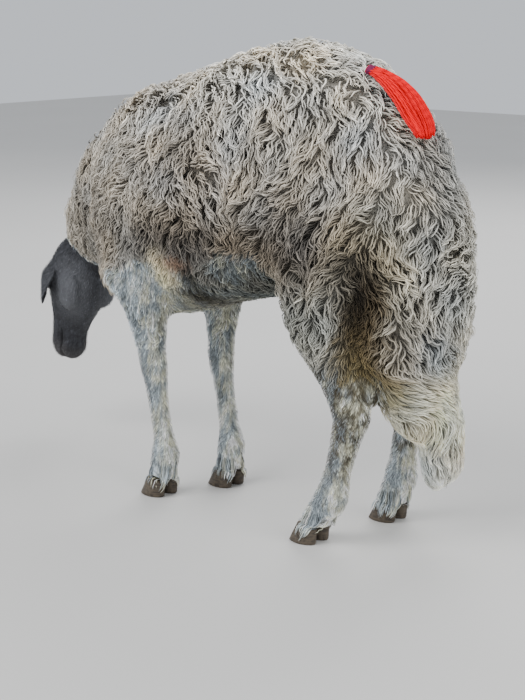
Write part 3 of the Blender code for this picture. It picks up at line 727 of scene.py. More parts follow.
@dataclass
class HeadForm:
    """The head under its hair: skull, muzzle, orbits, lips, nostrils, lids and ears."""

    inset: float = 0.0022
    voxel: float = 0.0021
    sides: int = 56
    ear_length: float = 0.114
    ear_half_width: float = 0.0225
    ear_root: Triple = (0.012, 0.047, -0.034)
    eye_radius: float = 0.0132
    lid_half_width: float = 0.0122

    # Along the head from the poll: the face's height, the jaw's height and the half-width.
    PROFILE = (
        (-0.018, -0.020, -0.085, 0.034),
        (0.004, 0.000, -0.112, 0.052),
        (0.040, 0.013, -0.124, 0.058),
        (0.078, 0.017, -0.124, 0.057),
        (0.112, 0.014, -0.112, 0.048),
        (0.150, 0.006, -0.095, 0.039),
        (0.186, -0.007, -0.085, 0.034),
        (0.212, -0.020, -0.083, 0.033),
        (0.231, -0.035, -0.077, 0.027),
        (0.238, -0.048, -0.066, 0.012),
    )

    # Each side's ellipsoids: the middle and the half sizes, in the head's frame.
    LUMPS = (
        ((0.078, 0.0320, -0.010), (0.028, 0.0180, 0.0140)),
        ((0.085, 0.0345, -0.027), (0.029, 0.0185, 0.0230)),
        ((0.116, 0.0260, -0.050), (0.040, 0.0190, 0.0190)),
        ((0.058, 0.0315, -0.080), (0.046, 0.0200, 0.0380)),
        ((0.209, 0.0155, -0.043), (0.024, 0.0150, 0.0170)),
        ((0.213, 0.0120, -0.063), (0.021, 0.0165, 0.0130)),
    )

    # Shares of the ear's length, and its width there as a share of the widest.
    LEAF = (
        (0.0, 0.10, 0.22, 0.36, 0.50, 0.64, 0.76, 0.86, 0.93, 0.975, 1.0),
        (0.42, 0.50, 0.74, 0.94, 1.0, 0.95, 0.82, 0.64, 0.46, 0.28, 0.08),
    )

    def build(self) -> Object:
        """Models the head and its ears as one closed mesh in the sheep's frame.

        Returns:
            The head, ready to be joined to the body's skin.
        """
        bm = bmesh.new()
        self._loft_skull(bm)
        for sign in (1.0, -1.0):
            for (x, y, z), half in self.LUMPS:
                self._lump(bm, (x, y * sign, z), half)
        self._lump(bm, (0.204, 0.0, -0.0775), (0.026, 0.0200, 0.0090))
        bmesh.ops.recalc_face_normals(bm, faces=bm.faces[:])
        head = link_form("head_form", bm)
        modify(head, "REMESH", mode="VOXEL", voxel_size=self.voxel)
        modify(head, "SMOOTH", factor=0.5, iterations=24)
        apply_modifiers(head)
        for side, sign in ((LEFT, 1.0), (RIGHT, -1.0)):
            unite(head, self._ear(side, sign))
        self._blend_ear_roots(head)
        self._refine(head)
        self._sculpt(head)
        return head

    def _loft_skull(self, bm: BMesh) -> None:
        """Rings from the poll to the nose, narrow along the jaw's edge."""
        rows = rounded(np.array(self.PROFILE), 10)
        turns = np.linspace(0.0, 2.0 * math.pi, self.sides, endpoint=False)
        rise, run = np.sin(turns), np.cos(turns)
        jaw = 1.0 - 0.34 * np.maximum(-rise, 0.0) ** 1.4
        brow = 1.0 - 0.20 * np.maximum(rise, 0.0) ** 3
        rings = []
        for along, face, under, wide in rows:
            face, under, wide = face - self.inset, under + self.inset, max(wide - self.inset, 0.006)
            middle, half = (face + under) / 2, (face - under) / 2
            ring = np.stack([np.full(self.sides, along), wide * run * jaw * brow, middle + half * rise], 1)
            rings.append([bm.verts.new(point) for point in HEAD.from_head(ring)])
        bridge(bm, rings)

    @staticmethod
    def _lump(bm: BMesh, centre: tuple, half: tuple) -> None:
        """Adds an ellipsoid, given in the head's frame, that the fusing blends in."""
        stretch = Matrix.Diagonal((*half, 1.0))
        matrix = HEAD.matrix() @ Matrix.Translation(centre) @ stretch
        bmesh.ops.create_icosphere(bm, subdivisions=3, radius=1.0, matrix=matrix)

    def _ear(self, side: str, sign: float) -> Object:
        """A long ear that hangs beside the cheek: a cupped leaf with a thick root.

        Args:
            side: The ear's side.
            sign: 1 on the head's left, -1 on its right.

        Returns:
            The closed ear.
        """
        turn = HEAD.matrix().to_3x3()
        root = HEAD.matrix() @ Vector((self.ear_root[0], self.ear_root[1] * sign, self.ear_root[2]))
        out = (turn @ Vector((0.0, sign, 0.0))).normalized()
        nose = (turn @ Vector((1.0, 0.0, 0.0))).normalized()
        hang = (nose * 0.12 - UP * 0.92 + out * 0.24).normalized()
        facing = (out - hang * out.dot(hang)).normalized()
        breadth = hang.cross(facing)
        bm = bmesh.new()
        rings = []
        steps, sides = 34, 40
        for i in range(steps + 1):
            share = i / steps
            width = self.ear_half_width * float(np.interp(share, self.LEAF[0], self.LEAF[1]))
            bow = out * (0.021 * math.sin(math.pi * share * 0.8))
            centre = root - out * 0.010 * (1.0 - share) ** 2 + hang * (self.ear_length * share) + bow
            thick = 0.0034 * (1.9 - 1.25 * share)
            ring = []
            for k in range(sides):
                angle = 2 * math.pi * k / sides
                across = width * math.cos(angle)
                edge = abs(math.cos(angle)) ** 3
                cup = -0.26 * across * across / self.ear_half_width
                wave = 0.0016 * math.sin(9.0 * share + 2.0 * sign) * edge
                lift = cup + wave + thick * math.sin(angle) * (1.0 - 0.35 * edge)
                ring.append(bm.verts.new(centre + breadth * across + facing * lift))
            rings.append(ring)
        bridge(bm, rings)
        bmesh.ops.recalc_face_normals(bm, faces=bm.faces[:])
        return link_form(f"ear_form_{side}", bm)

    def _blend_ear_roots(self, head: Object) -> None:
        """Smooths the skin where the ears grow out of the head."""
        local = HEAD.folded(coordinates(head.data))
        far = np.linalg.norm(local - np.array(self.ear_root), axis=1)
        share = 1.0 - ramp(far, 0.026, 0.044)
        relax(head, share, 26)

    def _refine(self, head: Object) -> None:
        """Gives the eyes, the nostrils and the lips a finer mesh for their folds."""
        bm = bmesh.new()
        bm.from_mesh(head.data)
        for reach in (0.021, 0.018):
            centres = np.array([face.calc_center_median() for face in bm.faces])
            local = HEAD.folded(centres)
            near = np.linalg.norm(local - np.array(HEAD.eye), axis=1) < reach
            if reach == 0.021:
                near |= local[:, 0] > 0.186
            faces = [face for face, fine in zip(bm.faces, near) if fine]
            edges = list({edge for face in faces for edge in face.edges})
            bmesh.ops.subdivide_edges(bm, edges=edges, cuts=1, use_grid_fill=True, smooth=0.0)
        bmesh.ops.triangulate(bm, faces=[f for f in bm.faces if len(f.verts) > 4])
        bm.to_mesh(head.data)
        bm.free()
        places = coordinates(head.data)
        local = HEAD.to_head(places)
        relax(head, ramp(local[:, 0], 0.03, 0.06), 3)

    def _sculpt(self, head: Object) -> None:
        """Presses the folds of the face into the fine mesh."""
        places = coordinates(head.data)
        local = HEAD.to_head(places)
        sign = np.where(local[:, 1] < 0.0, -1.0, 1.0)
        local[:, 1] *= sign
        normals = vertex_normals(head.data) @ np.array(HEAD.matrix())[:3, :3]
        normals[:, 1] *= sign
        local = self._lips(local, normals)
        local = self._nostrils(local, normals)
        local = self._cheek(local, normals)
        local = self._lids(local)
        local[:, 1] *= sign
        set_coordinates(head.data, HEAD.from_head(local))

    @staticmethod
    def _press(points: Array, normals: Array, depth: Array) -> Array:
        """Moves points inwards, against their normals."""
        return points - normals * depth[:, None]

    def _lips(self, points: Array, normals: Array) -> Array:
        """The mouth's line from the front round to the side, and the cleft of the upper lip."""
        x, y, z = points.T
        above = MUZZLE.lips(points)
        before = ramp(x, MUZZLE.corner - 0.006, MUZZLE.corner + 0.012)
        mouth = np.exp(-((above / 0.0017) ** 2)) * before * 0.0044
        lower = np.exp(-(((above + 0.007) / 0.004) ** 2)) * ramp(x, 0.190, 0.215) * 0.0012
        front = ramp(x, 0.222, 0.230)
        cleft = np.exp(-((y / 0.0013) ** 2)) * ramp(z, -0.073, -0.066)
        cleft = cleft * (1 - ramp(z, -0.050, -0.042)) * front
        return self._press(points, normals, mouth + 0.0030 * cleft - lower)

    def _nostrils(self, points: Array, normals: Array) -> Array:
        """A slanting slit on each side of the muzzle, with a raised rim."""
        run, far = MUZZLE.slit(points)
        within = np.exp(-((run / MUZZLE.half_length) ** 4)) * (points[:, 1] > 0.002)
        slit = np.exp(-((far / 0.0027) ** 2)) * within * 0.0085
        rim = np.exp(-(((far - 0.0058) / 0.0020) ** 2)) * within * 0.0014
        return self._press(points, normals, slit - rim)

    def _cheek(self, points: Array, normals: Array) -> Array:
        """The hollow before the eye, the tear pit and the jaw's edge."""
        pit = Zone(np.array((0.112, 0.036, -0.030)), (0.013, 0.014, 0.0045)).weight(points)
        hollow = Zone(np.array((0.150, 0.036, -0.040)), (0.028, 0.012, 0.018)).weight(points)
        jaw = Zone(np.array((0.105, 0.040, -0.086)), (0.020, 0.012, 0.012)).weight(points)
        return self._press(points, normals, 0.0022 * pit + 0.0020 * hollow + 0.0015 * jaw)

    def _lids(self, points: Array) -> Array:
        """Wraps the lids round the eyeball and opens an almond between them."""
        centre = np.array(HEAD.eye)
        gaze = unit(np.array(HEAD.gaze))
        corner = self.lid_half_width
        ahead = unit(np.array((1.0, 0.0, 0.0)) - gaze * gaze[0])
        above = np.cross(ahead, gaze)
        above = above * np.sign(above[2])
        offset = points - centre
        far = np.linalg.norm(offset, axis=1)
        facing = offset @ gaze / np.maximum(far, 1e-9)
        run, rise = offset @ ahead, offset @ above
        scale = self.eye_radius / np.maximum(far, 1e-9)
        run, rise = run * scale, rise * scale
        share = np.clip(1.0 - (run / corner) ** 2, 0.0, None)
        upper = 0.0068 * share**0.75 - 0.0008
        lower = -0.0058 * share**0.85 + 0.0004
        outside = np.maximum(rise - upper, lower - rise)
        outside = np.where(np.abs(run) < corner, outside, np.maximum(outside, np.abs(run) - corner))
        front = ramp(facing, 0.30, 0.50)
        lid = self.eye_radius + 0.0012 + 0.0008 * np.exp(-(((outside - 0.0012) / 0.0013) ** 2))
        crease = -0.0011 * np.exp(-(((rise - upper - 0.0042) / 0.0010) ** 2))
        lid = lid + crease * (run > -0.012) * (run < 0.012)
        open_share = 1.0 - ramp(outside, -0.0009, 0.0003)
        wrapped = lid * (1 - open_share) + (self.eye_radius - 0.0022) * open_share
        near = front * (1.0 - ramp(outside, 0.0030, 0.0120))
        radial = far * (1 - near) + wrapped * near
        return centre + offset * (radial / np.maximum(far, 1e-9))[:, None]


def rounded(rows: Array, steps: int) -> Array:
    """Fills a smooth curve in between rows of numbers.

    Args:
        rows: The rows that the curve passes through.
        steps: How many steps are made of each gap.

    Returns:
        The rows along the curve, ends included.
    """
    padded = np.vstack([2 * rows[0] - rows[1], rows, 2 * rows[-1] - rows[-2]])
    result = []
    for before, start, end, after in zip(padded, padded[1:], padded[2:], padded[3:]):
        for t in np.arange(steps) / steps:
            pull = (end - before) * t + (2 * before - 5 * start + 4 * end - after) * t**2
            pull = pull + (3 * start - before - 3 * end + after) * t**3
            result.append(start + pull / 2)
    return np.array([*result, rows[-1]])


def bridge(bm: BMesh, rings: list) -> None:
    """Joins rings of vertices into a closed tube with filled ends."""
    count = len(rings[0])
    for low, high in zip(rings, rings[1:]):
        for k in range(count):
            bm.faces.new((low[k], low[(k + 1) % count], high[(k + 1) % count], high[k]))
    bm.faces.new(rings[0])
    bm.faces.new(rings[-1])


def unite(obj: Object, other: Object) -> None:
    """Joins another closed mesh into a closed mesh, and deletes it.

    Args:
        obj: The object that grows.
        other: The object that it takes in.
    """
    modify(obj, "BOOLEAN", operation="UNION", solver="MANIFOLD", object=other)
    apply_modifiers(obj)
    remove(other)


def relax(obj: Object, share: Array, passes: int) -> None:
    """Smooths an object's mesh, each vertex by its own share.

    Args:
        obj: The object.
        share: 0 where a vertex stays, 1 where it takes the whole smoothing.
        passes: How many times to smooth.
    """
    mesh = obj.data
    pairs = edge_pairs(mesh)
    places = coordinates(mesh)
    for _ in range(passes):
        averaged = np.stack([spread(places[:, axis], pairs, 1) for axis in range(3)], 1)
        places = places + (averaged - places) * share[:, None]
    set_coordinates(mesh, places)


@dataclass
class Skin:
    """One closed skin inside the flesh nodes, by the coat's depth."""

    voxel: float = 0.0045
    overlap: float = 0.0005
    body_faces: int = 84000
    head_inset: float = 0.0200
    head: HeadForm = field(default_factory=HeadForm)

    # The coat's depth over each flesh node, in metres.
    DEPTHS = {
        "trunk": 0.0200,
        "neck": 0.0210,
        "head": 0.0030,
        "tail_upper": 0.0190,
        "tail_lower": 0.0165,
        "tail_tip": 0.0130,
        "foreleg_upper": 0.0065,
        "foreleg_shank": 0.0042,
        "foreleg_foot": 0.0045,
        "hindleg_upper": 0.0180,
        "hindleg_shank": 0.0050,
        "hindleg_foot": 0.0045,
    }

    def build(self) -> Object:
        """Makes the skin.

        Returns:
            The bare skin; dress_skin gives it its attributes and its finish.
        """
        outer, labels = self._outer_form()
        pairs = edge_pairs(outer.data)
        places = coordinates(outer.data)
        depth = self._depths(places, labels, pairs)
        normals = vertex_normals(outer.data)
        inner = places - normals * np.minimum(depth, 0.030)[:, None]
        set_coordinates(outer.data, inner)
        relax(outer, ramp(depth, 0.006, 0.012), 10)
        self._thin(outer, depth)
        head = self.head.build()
        unite(outer, head)
        outer.name = "skin"
        outer.data.name = "skin"
        return outer

    def _outer_form(self) -> tuple[Object, Array]:
        """Fuses copies of the flesh nodes into one form.

        Returns:
            The form, and for each vertex the number of the flesh node that it lies on.
        """
        bm = bmesh.new()
        face_label = []
        names = Flesh.body()
        for number, name in enumerate(names):
            part = bmesh.new()
            part.from_mesh(bpy.data.objects[name].data)
            bmesh.ops.remove_doubles(part, verts=part.verts[:], dist=1e-5)
            part.normal_update()
            for vertex in part.verts:
                vertex.co += vertex.normal * self.overlap
            mesh = bpy.data.meshes.new(name + "_copy")
            part.to_mesh(mesh)
            part.free()
            bm.from_mesh(mesh)
            face_label += [number] * (len(bm.faces) - len(face_label))
            bpy.data.meshes.remove(mesh)
        tree = BVHTree.FromBMesh(bm)
        form = link_form("skin_form", bm)
        modify(form, "REMESH", mode="VOXEL", voxel_size=self.voxel)
        apply_modifiers(form)
        places = coordinates(form.data)
        labels = np.array([face_label[tree.find_nearest(Vector(p))[2]] for p in places])
        kinds = np.array([self._depth_of(name) for name in names])
        woolly = spread(ramp(kinds[labels], 0.006, 0.02), edge_pairs(form.data), 8)
        relax(form, woolly, 22)
        relax(form, np.ones(len(places)), 4)
        return form, labels

    @classmethod
    def _depth_of(cls, name: str) -> float:
        """The coat's depth over a node."""
        plain = name.replace("_left", "").replace("_right", "")
        return cls.DEPTHS[plain]

    def _depths(self, places: Array, labels: Array, pairs: Array) -> Array:
        """How deep the skin lies under the outline, blended from node to node."""
        names = Flesh.body()
        depth = np.array([self._depth_of(name) for name in names])[labels]
        hind = np.array([name.startswith("hindleg") and name.endswith("upper") for name in names])[labels]
        height = places[:, 2]
        depth = np.where(hind, 0.0055 + 0.0135 * ramp(height, 0.23, 0.45), depth)
        trunk = labels == names.index("trunk")
        belly = trunk * (1 - ramp(height, 0.355, 0.400))
        depth = depth * (1 - belly) + 0.0080 * belly
        for y in (0.10, 0.90):
            for x, z, reach in ((0.30, 0.21, 0.056), (0.41, 0.225, 0.044), (0.55, 0.25, 0.060)):
                short = Zone(spot("trunk", x, y, z), (reach, 0.070, 0.050)).weight(places)
                depth = depth * (1 - short) + 0.0058 * short
        head = labels == names.index("head")
        depth = np.where(head, self.head_inset, depth)
        return spread(depth, pairs, 14)

    def _thin(self, form: Object, depth: Array) -> None:
        """Leaves fewer faces where the fleece hides the skin."""
        group = form.vertex_groups.new(name="plain")
        woolly = ramp(depth, 0.006, 0.011)
        for index, share in enumerate(woolly):
            group.add([index], float(share), "REPLACE")
        ratio = min(self.body_faces / (2 * len(form.data.polygons)), 1.0)
        modify(form, "DECIMATE", ratio=ratio, vertex_group="plain", vertex_group_factor=0.02,
               use_collapse_triangulate=True)  # fmt: skip
        apply_modifiers(form)
        form.vertex_groups.clear()


# ---------------------------------------------------------------- the coat
class Lie:
    """Which way the coat lies at each place on the skin."""

    def __init__(self) -> None:
        """Sets up the fields that turn the locks away from a plain fall."""
        self.slow = Ripple(41, 0.17, 7)
        self.quick = Ripple(44, 0.050, 9)
        self.fine = Ripple(47, 0.024, 9)
        self.swirls = (
            (spot("tail_upper", 0.56, 0.11, 0.53), 0.055, 1.5),
            (spot("tail_upper", 0.85, 0.55, 0.62), 0.060, -1.3),
            (spot("trunk", 0.48, 0.02, 0.52), 0.065, 1.5),
            (spot("trunk", 0.24, 0.03, 0.60), 0.060, -1.2),
            (spot("trunk", 0.50, 0.98, 0.55), 0.065, -1.3),
            (spot("trunk", 0.41, 0.02, 0.46), 0.030, -2.0),
            (spot("trunk", 0.54, 0.02, 0.60), 0.030, 2.0),
            (spot("trunk", 0.44, 0.02, 0.63), 0.028, -2.2),
        )
        self.croup = spot("trunk", 0.97, 0.5, 0.66)
        self.brisket = brisket()
        self.band_way = np.array((0.72, 0.60, -0.42)) * 1.6
        self.tail_low, self.tail_high = (np.array(corner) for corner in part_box("tail_lower"))
        feet = [f"{leg}_{side}_foot" for leg in Flesh.LEGS for side in SIDES]
        self.feet = np.array([spot(foot, 0.5, 0.5, 0.0)[:2] for foot in feet])

    def tail_band(self, points: Array) -> Array:
        """Where the hair is swept across the lower tail, from its left to its right."""
        height = points[:, 2]
        rising = ramp(height, self.tail_low[2] + 0.035, self.tail_low[2] + 0.075)
        below = 1.0 - ramp(height, self.tail_high[2] + 0.005, self.tail_high[2] + 0.035)
        return rising * below * ramp(points[:, 0], self.tail_low[0] - 0.02, self.tail_low[0] + 0.02)

    def sleekness(self, points: Array) -> Array:
        """1 where the locks are straight and fine, as at the tail's end, and 0 elsewhere."""
        low_tail = 1.0 - ramp(points[:, 2], self.tail_high[2] + 0.010, self.tail_high[2] + 0.050)
        return low_tail * ramp(points[:, 0], self.tail_low[0] - 0.03, self.tail_low[0])

    def softness(self, points: Array) -> Array:
        """1 on the croup and the top of the tail, where the wool is shortest and finest."""
        distance = ((points - self.croup) / np.array((0.12, 0.16, 0.12))) ** 2
        return np.exp(-(distance.sum(1) ** 1.5))

    def _over_the_claws(self, points: Array) -> Array:
        """Down, and outwards from the nearest foot's middle."""
        away = points[:, None, :2] - self.feet[None]
        nearest = np.linalg.norm(away, axis=2).argmin(1)
        outwards = away[np.arange(len(points)), nearest]
        return np.concatenate([unit(outwards) * 0.9, np.full((len(points), 1), -1.0)], 1)

    def at(self, points: Array, normals: Array, kind: Array) -> Array:
        """The direction in which the coat lies.

        Args:
            points: Places on the skin.
            normals: The skin's normals there.
            kind: 0 on wool, 1 on short hair, 2 on the head.

        Returns:
            Unit rows along the skin.
        """
        side = np.tanh(normals[:, 1] / 0.35)
        top = ramp(normals[:, 2], 0.35, 0.95)
        under = ramp(-normals[:, 2], 0.55, 0.95)
        fall = np.stack([-0.32 + 1.20 * top + 1.2 * under, 0.55 * side * top, -1.0 + 0.85 * top], 1)
        ridge = (1.0 - ramp(np.abs(normals[:, 1]), 0.10, 0.75)) * ramp(normals[:, 2], 0.05, 0.45)
        ridge = ridge[:, None]
        flat = np.zeros(len(points))
        backwards = np.stack([flat + 1.0, flat, 0.25 - 1.2 * np.maximum(normals[:, 0], 0.0)], 1)
        fall = fall * (1 - ridge) + backwards * ridge
        low = (1.0 - ramp(points[:, 2], 0.055, 0.075))[:, None]
        fall = fall * (1 - low) + self._over_the_claws(points) * low
        fall = fall - normals * (fall * normals).sum(1, keepdims=True)
        weak = 1.0 - ramp(np.linalg.norm(fall, axis=1), 0.20, 0.62)
        fall = unit(fall)
        wool = 1.0 - ramp(kind, 0.2, 0.8)
        turn = 0.36 * self.slow.at(points) + (0.34 + 0.22 * top) * self.quick.at(points)
        turn += (0.24 + 0.26 * top + 1.5 * weak) * self.fine.at(points)
        for centre, reach, strength in self.swirls:
            turn += strength * np.exp(-((points - centre) ** 2).sum(1) / reach**2)
        turn = (turn * (0.22 + 0.78 * wool) * (1.0 - 0.45 * self.softness(points)))[:, None]
        way = fall * np.cos(turn) + np.cross(normals, fall) * np.sin(turn)
        band = self.tail_band(points)[:, None] * wool[:, None]
        way = way * (1 - band) + self.band_way * band
        turned = np.array(HEAD.matrix())[:3, :3]
        local = HEAD.to_head(points)
        apart = np.tanh(local[:, 1] / 0.020)
        outwards = np.stack([np.full(len(points), -1.0), 0.9 * apart, np.full(len(points), -0.3)], 1)
        below = ramp(-local[:, 2], 0.0, 0.09)
        outwards[:, 1] *= 0.5 * (1 - below)
        head_way = outwards @ turned.T
        head = ramp(kind, 1.2, 1.8)[:, None]
        way = way * (1 - head) + head_way * head
        way = way - normals * (way * normals).sum(1, keepdims=True)
        return unit(way)


class Growth(Enum):
    """The ways in which the coat grows: by its depth, by the tail's end and by the feet."""

    FLEECE = "fleece"
    FUZZ = "fuzz"
    BRUSH = "brush"
    HAIR = "hair"
    FEATHER = "feather"


@dataclass(frozen=True)
class LockStyle:
    """How the locks of one growth are made; lengths are in metres."""

    depths: Pair
    spacing: Pair
    length: Pair
    width: Pair
    steps: int
    swing: float
    wavelength: float
    clump: float
    staple: float
    stray: float = 0.06
    tint: float = 0.16
    bend: float = 0.2
    wander: float = 0.0
    curl: float = 0.0


STYLES = {
    Growth.FLEECE: LockStyle((0.0115, 0.021), (0.0041, 0.0044), (0.023, 0.032), (0.0030, 0.0036), 6,
                             0.0016, 0.0175, 0.45, 0.0125, tint=0.24, wander=0.15, curl=0.42),
    Growth.FUZZ: LockStyle((0.0062, 0.0115), (0.0031, 0.0038), (0.011, 0.022), (0.0017, 0.0027), 5,
                           0.0008, 0.0115, 0.45, 0.0090, tint=0.22, wander=0.22, curl=0.40),
    Growth.BRUSH: LockStyle((0.0062, 0.021), (0.0033, 0.0035), (0.026, 0.040), (0.0017, 0.0021), 6,
                            0.0005, 0.0240, 0.50, 0.0110, wander=0.08, curl=0.10),
    Growth.HAIR: LockStyle((0.0, 0.0062), (0.0026, 0.0031), (0.006, 0.0095), (0.0009, 0.0014), 2,
                           0.0001, 0.0140, 0.35, 0.0060, 0.0, 0.38),
    Growth.FEATHER: LockStyle((0.0, 0.0062), (0.0027, 0.0028), (0.030, 0.032), (0.0018, 0.0022), 6,
                              0.0004, 0.0160, 0.45, 0.0070, 0.0, 0.24, -1.0),
}  # fmt: skip


@dataclass
class Strands:
    """Rows of points down the middle of many locks, with what each lock needs to be drawn."""

    middle: Array
    normal: Array
    width: Array
    flat: Array
    root_map: Array
    colour: Array
    names: Array


class Field:
    """The skin as the coat needs it: places, normals, depth, kind and map, found quickly."""

    def __init__(self, skin: Object, claws: list[Object]) -> None:
        """Reads the skin's triangles, and the claws', over which the feet's hair hangs.

        Args:
            skin: The finished skin, with the attributes depth and kind.
            claws: The finished claws.
        """
        meshes = [skin.data] + [claw.data for claw in claws]
        sizes = [len(mesh.vertices) for mesh in meshes]
        rest = sum(sizes[1:])
        self.places = np.concatenate([coordinates(mesh) for mesh in meshes])
        self.normals = np.concatenate([vertex_normals(mesh) for mesh in meshes])
        self.depth = np.concatenate([read_attribute(skin.data, "depth"), np.full(rest, 0.0040)])
        self.kind = np.concatenate([read_attribute(skin.data, "kind"), np.ones(rest)])
        self.triangles = np.concatenate([
            corner_triples(mesh) + start for mesh, start in zip(meshes, np.cumsum([0] + sizes[:-1]))
        ])  # fmt: skip
        self.rooted = self.triangles[:, 0] < sizes[0]
        self.face_normal = unit(self.normals[self.triangles].mean(1))
        self.face_depth = self.depth[self.triangles].mean(1)
        self.face_kind = self.kind[self.triangles].mean(1)
        self.face_place = self.places[self.triangles].mean(1)
        under_foot = (self.face_place[:, 2] < 0.05) & (self.face_normal[:, 2] < -0.4)
        self.searched = np.nonzero(~under_foot)[0]
        self.tree = BVHTree.FromPolygons(self.places.tolist(), self.triangles[self.searched].tolist())

    def nearest(self, points: Array) -> tuple[Array, Array]:
        """The nearest places on the skin, and the triangles that they lie on."""
        found = [self.tree.find_nearest(point) for point in points.tolist()]
        return np.array([hit[0][:] for hit in found]), self.searched[[hit[2] for hit in found]]


def point_tree(points: Array) -> KDTree:
    """A search tree of points, numbered in their order."""
    tree = KDTree(len(points))
    for number, point in enumerate(points.tolist()):
        tree.insert(point, number)
    tree.balance()
    return tree


def corner_triples(mesh: Mesh) -> Array:
    """The three corners of each of a mesh's triangles."""
    mesh.calc_loop_triangles()
    return read_rows(mesh.loop_triangles, "vertices", 3)


def read_attribute(mesh: Mesh, name: str) -> Array:
    """A number on each vertex."""
    return read_rows(mesh.attributes[name].data, "value", 1, np.float32)[:, 0].astype(np.float64)


def write_attribute(mesh: Mesh, name: str, values: Array) -> None:
    """Stores a number or a colour on each vertex."""
    if values.ndim == 1:
        attribute = mesh.attributes.new(name, "FLOAT", "POINT")
        attribute.data.foreach_set("value", values.astype(np.float32))
        return
    attribute = mesh.attributes.new(name, "FLOAT_COLOR", "POINT")
    opaque = np.concatenate([values, np.ones((len(values), 1))], 1)
    attribute.data.foreach_set("color", opaque.astype(np.float32).ravel())


class RootMap:
    """An unwrap of the skin's own shape, on which each lock finds its root's place."""

    faces: int = 9000

    def __init__(self, skin: Object) -> None:
        """Unwraps a lighter copy of the skin.

        Args:
            skin: The finished skin.
        """
        copy = link("unwrapped", skin.data.copy())
        ratio = self.faces / (2 * len(copy.data.polygons))
        modify(copy, "DECIMATE", ratio=ratio, use_collapse_triangulate=True)
        apply_modifiers(copy)
        activate(copy)
        bpy.ops.object.mode_set(mode="EDIT")
        bpy.ops.mesh.select_all(action="SELECT")
        bpy.ops.uv.smart_project(angle_limit=math.radians(66.0), island_margin=0.004)
        bpy.ops.object.mode_set(mode="OBJECT")
        mesh = copy.data
        places, triangles = coordinates(mesh), corner_triples(mesh)
        loops = read_rows(mesh.loop_triangles, "loops", 3)
        self.corner_map = read_rows(mesh.uv_layers[0].data, "uv", 2, np.float32)[loops]
        self.corners = places[triangles]
        self.tree = BVHTree.FromPolygons(places.tolist(), triangles.tolist())
        remove(copy)

    def at(self, points: Array) -> Array:
        """Each point's place on the unwrap."""
        found = [self.tree.find_nearest(point) for point in points.tolist()]
        hits = np.array([hit[0][:] for hit in found])
        index = np.array([hit[2] for hit in found])
        a, b, c = (self.corners[index, k] for k in range(3))
        across, along, offset = b - a, c - a, hits - a
        d00, d01, d11 = ((p * q).sum(1) for p, q in ((across, across), (across, along), (along, along)))
        d20, d21 = (offset * across).sum(1), (offset * along).sum(1)
        scale = np.maximum(d00 * d11 - d01 * d01, 1e-18)
        second = (d11 * d20 - d01 * d21) / scale
        third = (d00 * d21 - d01 * d20) / scale
        shares = np.stack([1 - second - third, second, third], 1)
        return np.clip((self.corner_map[index] * shares[:, :, None]).sum(1), 0.003, 0.997)


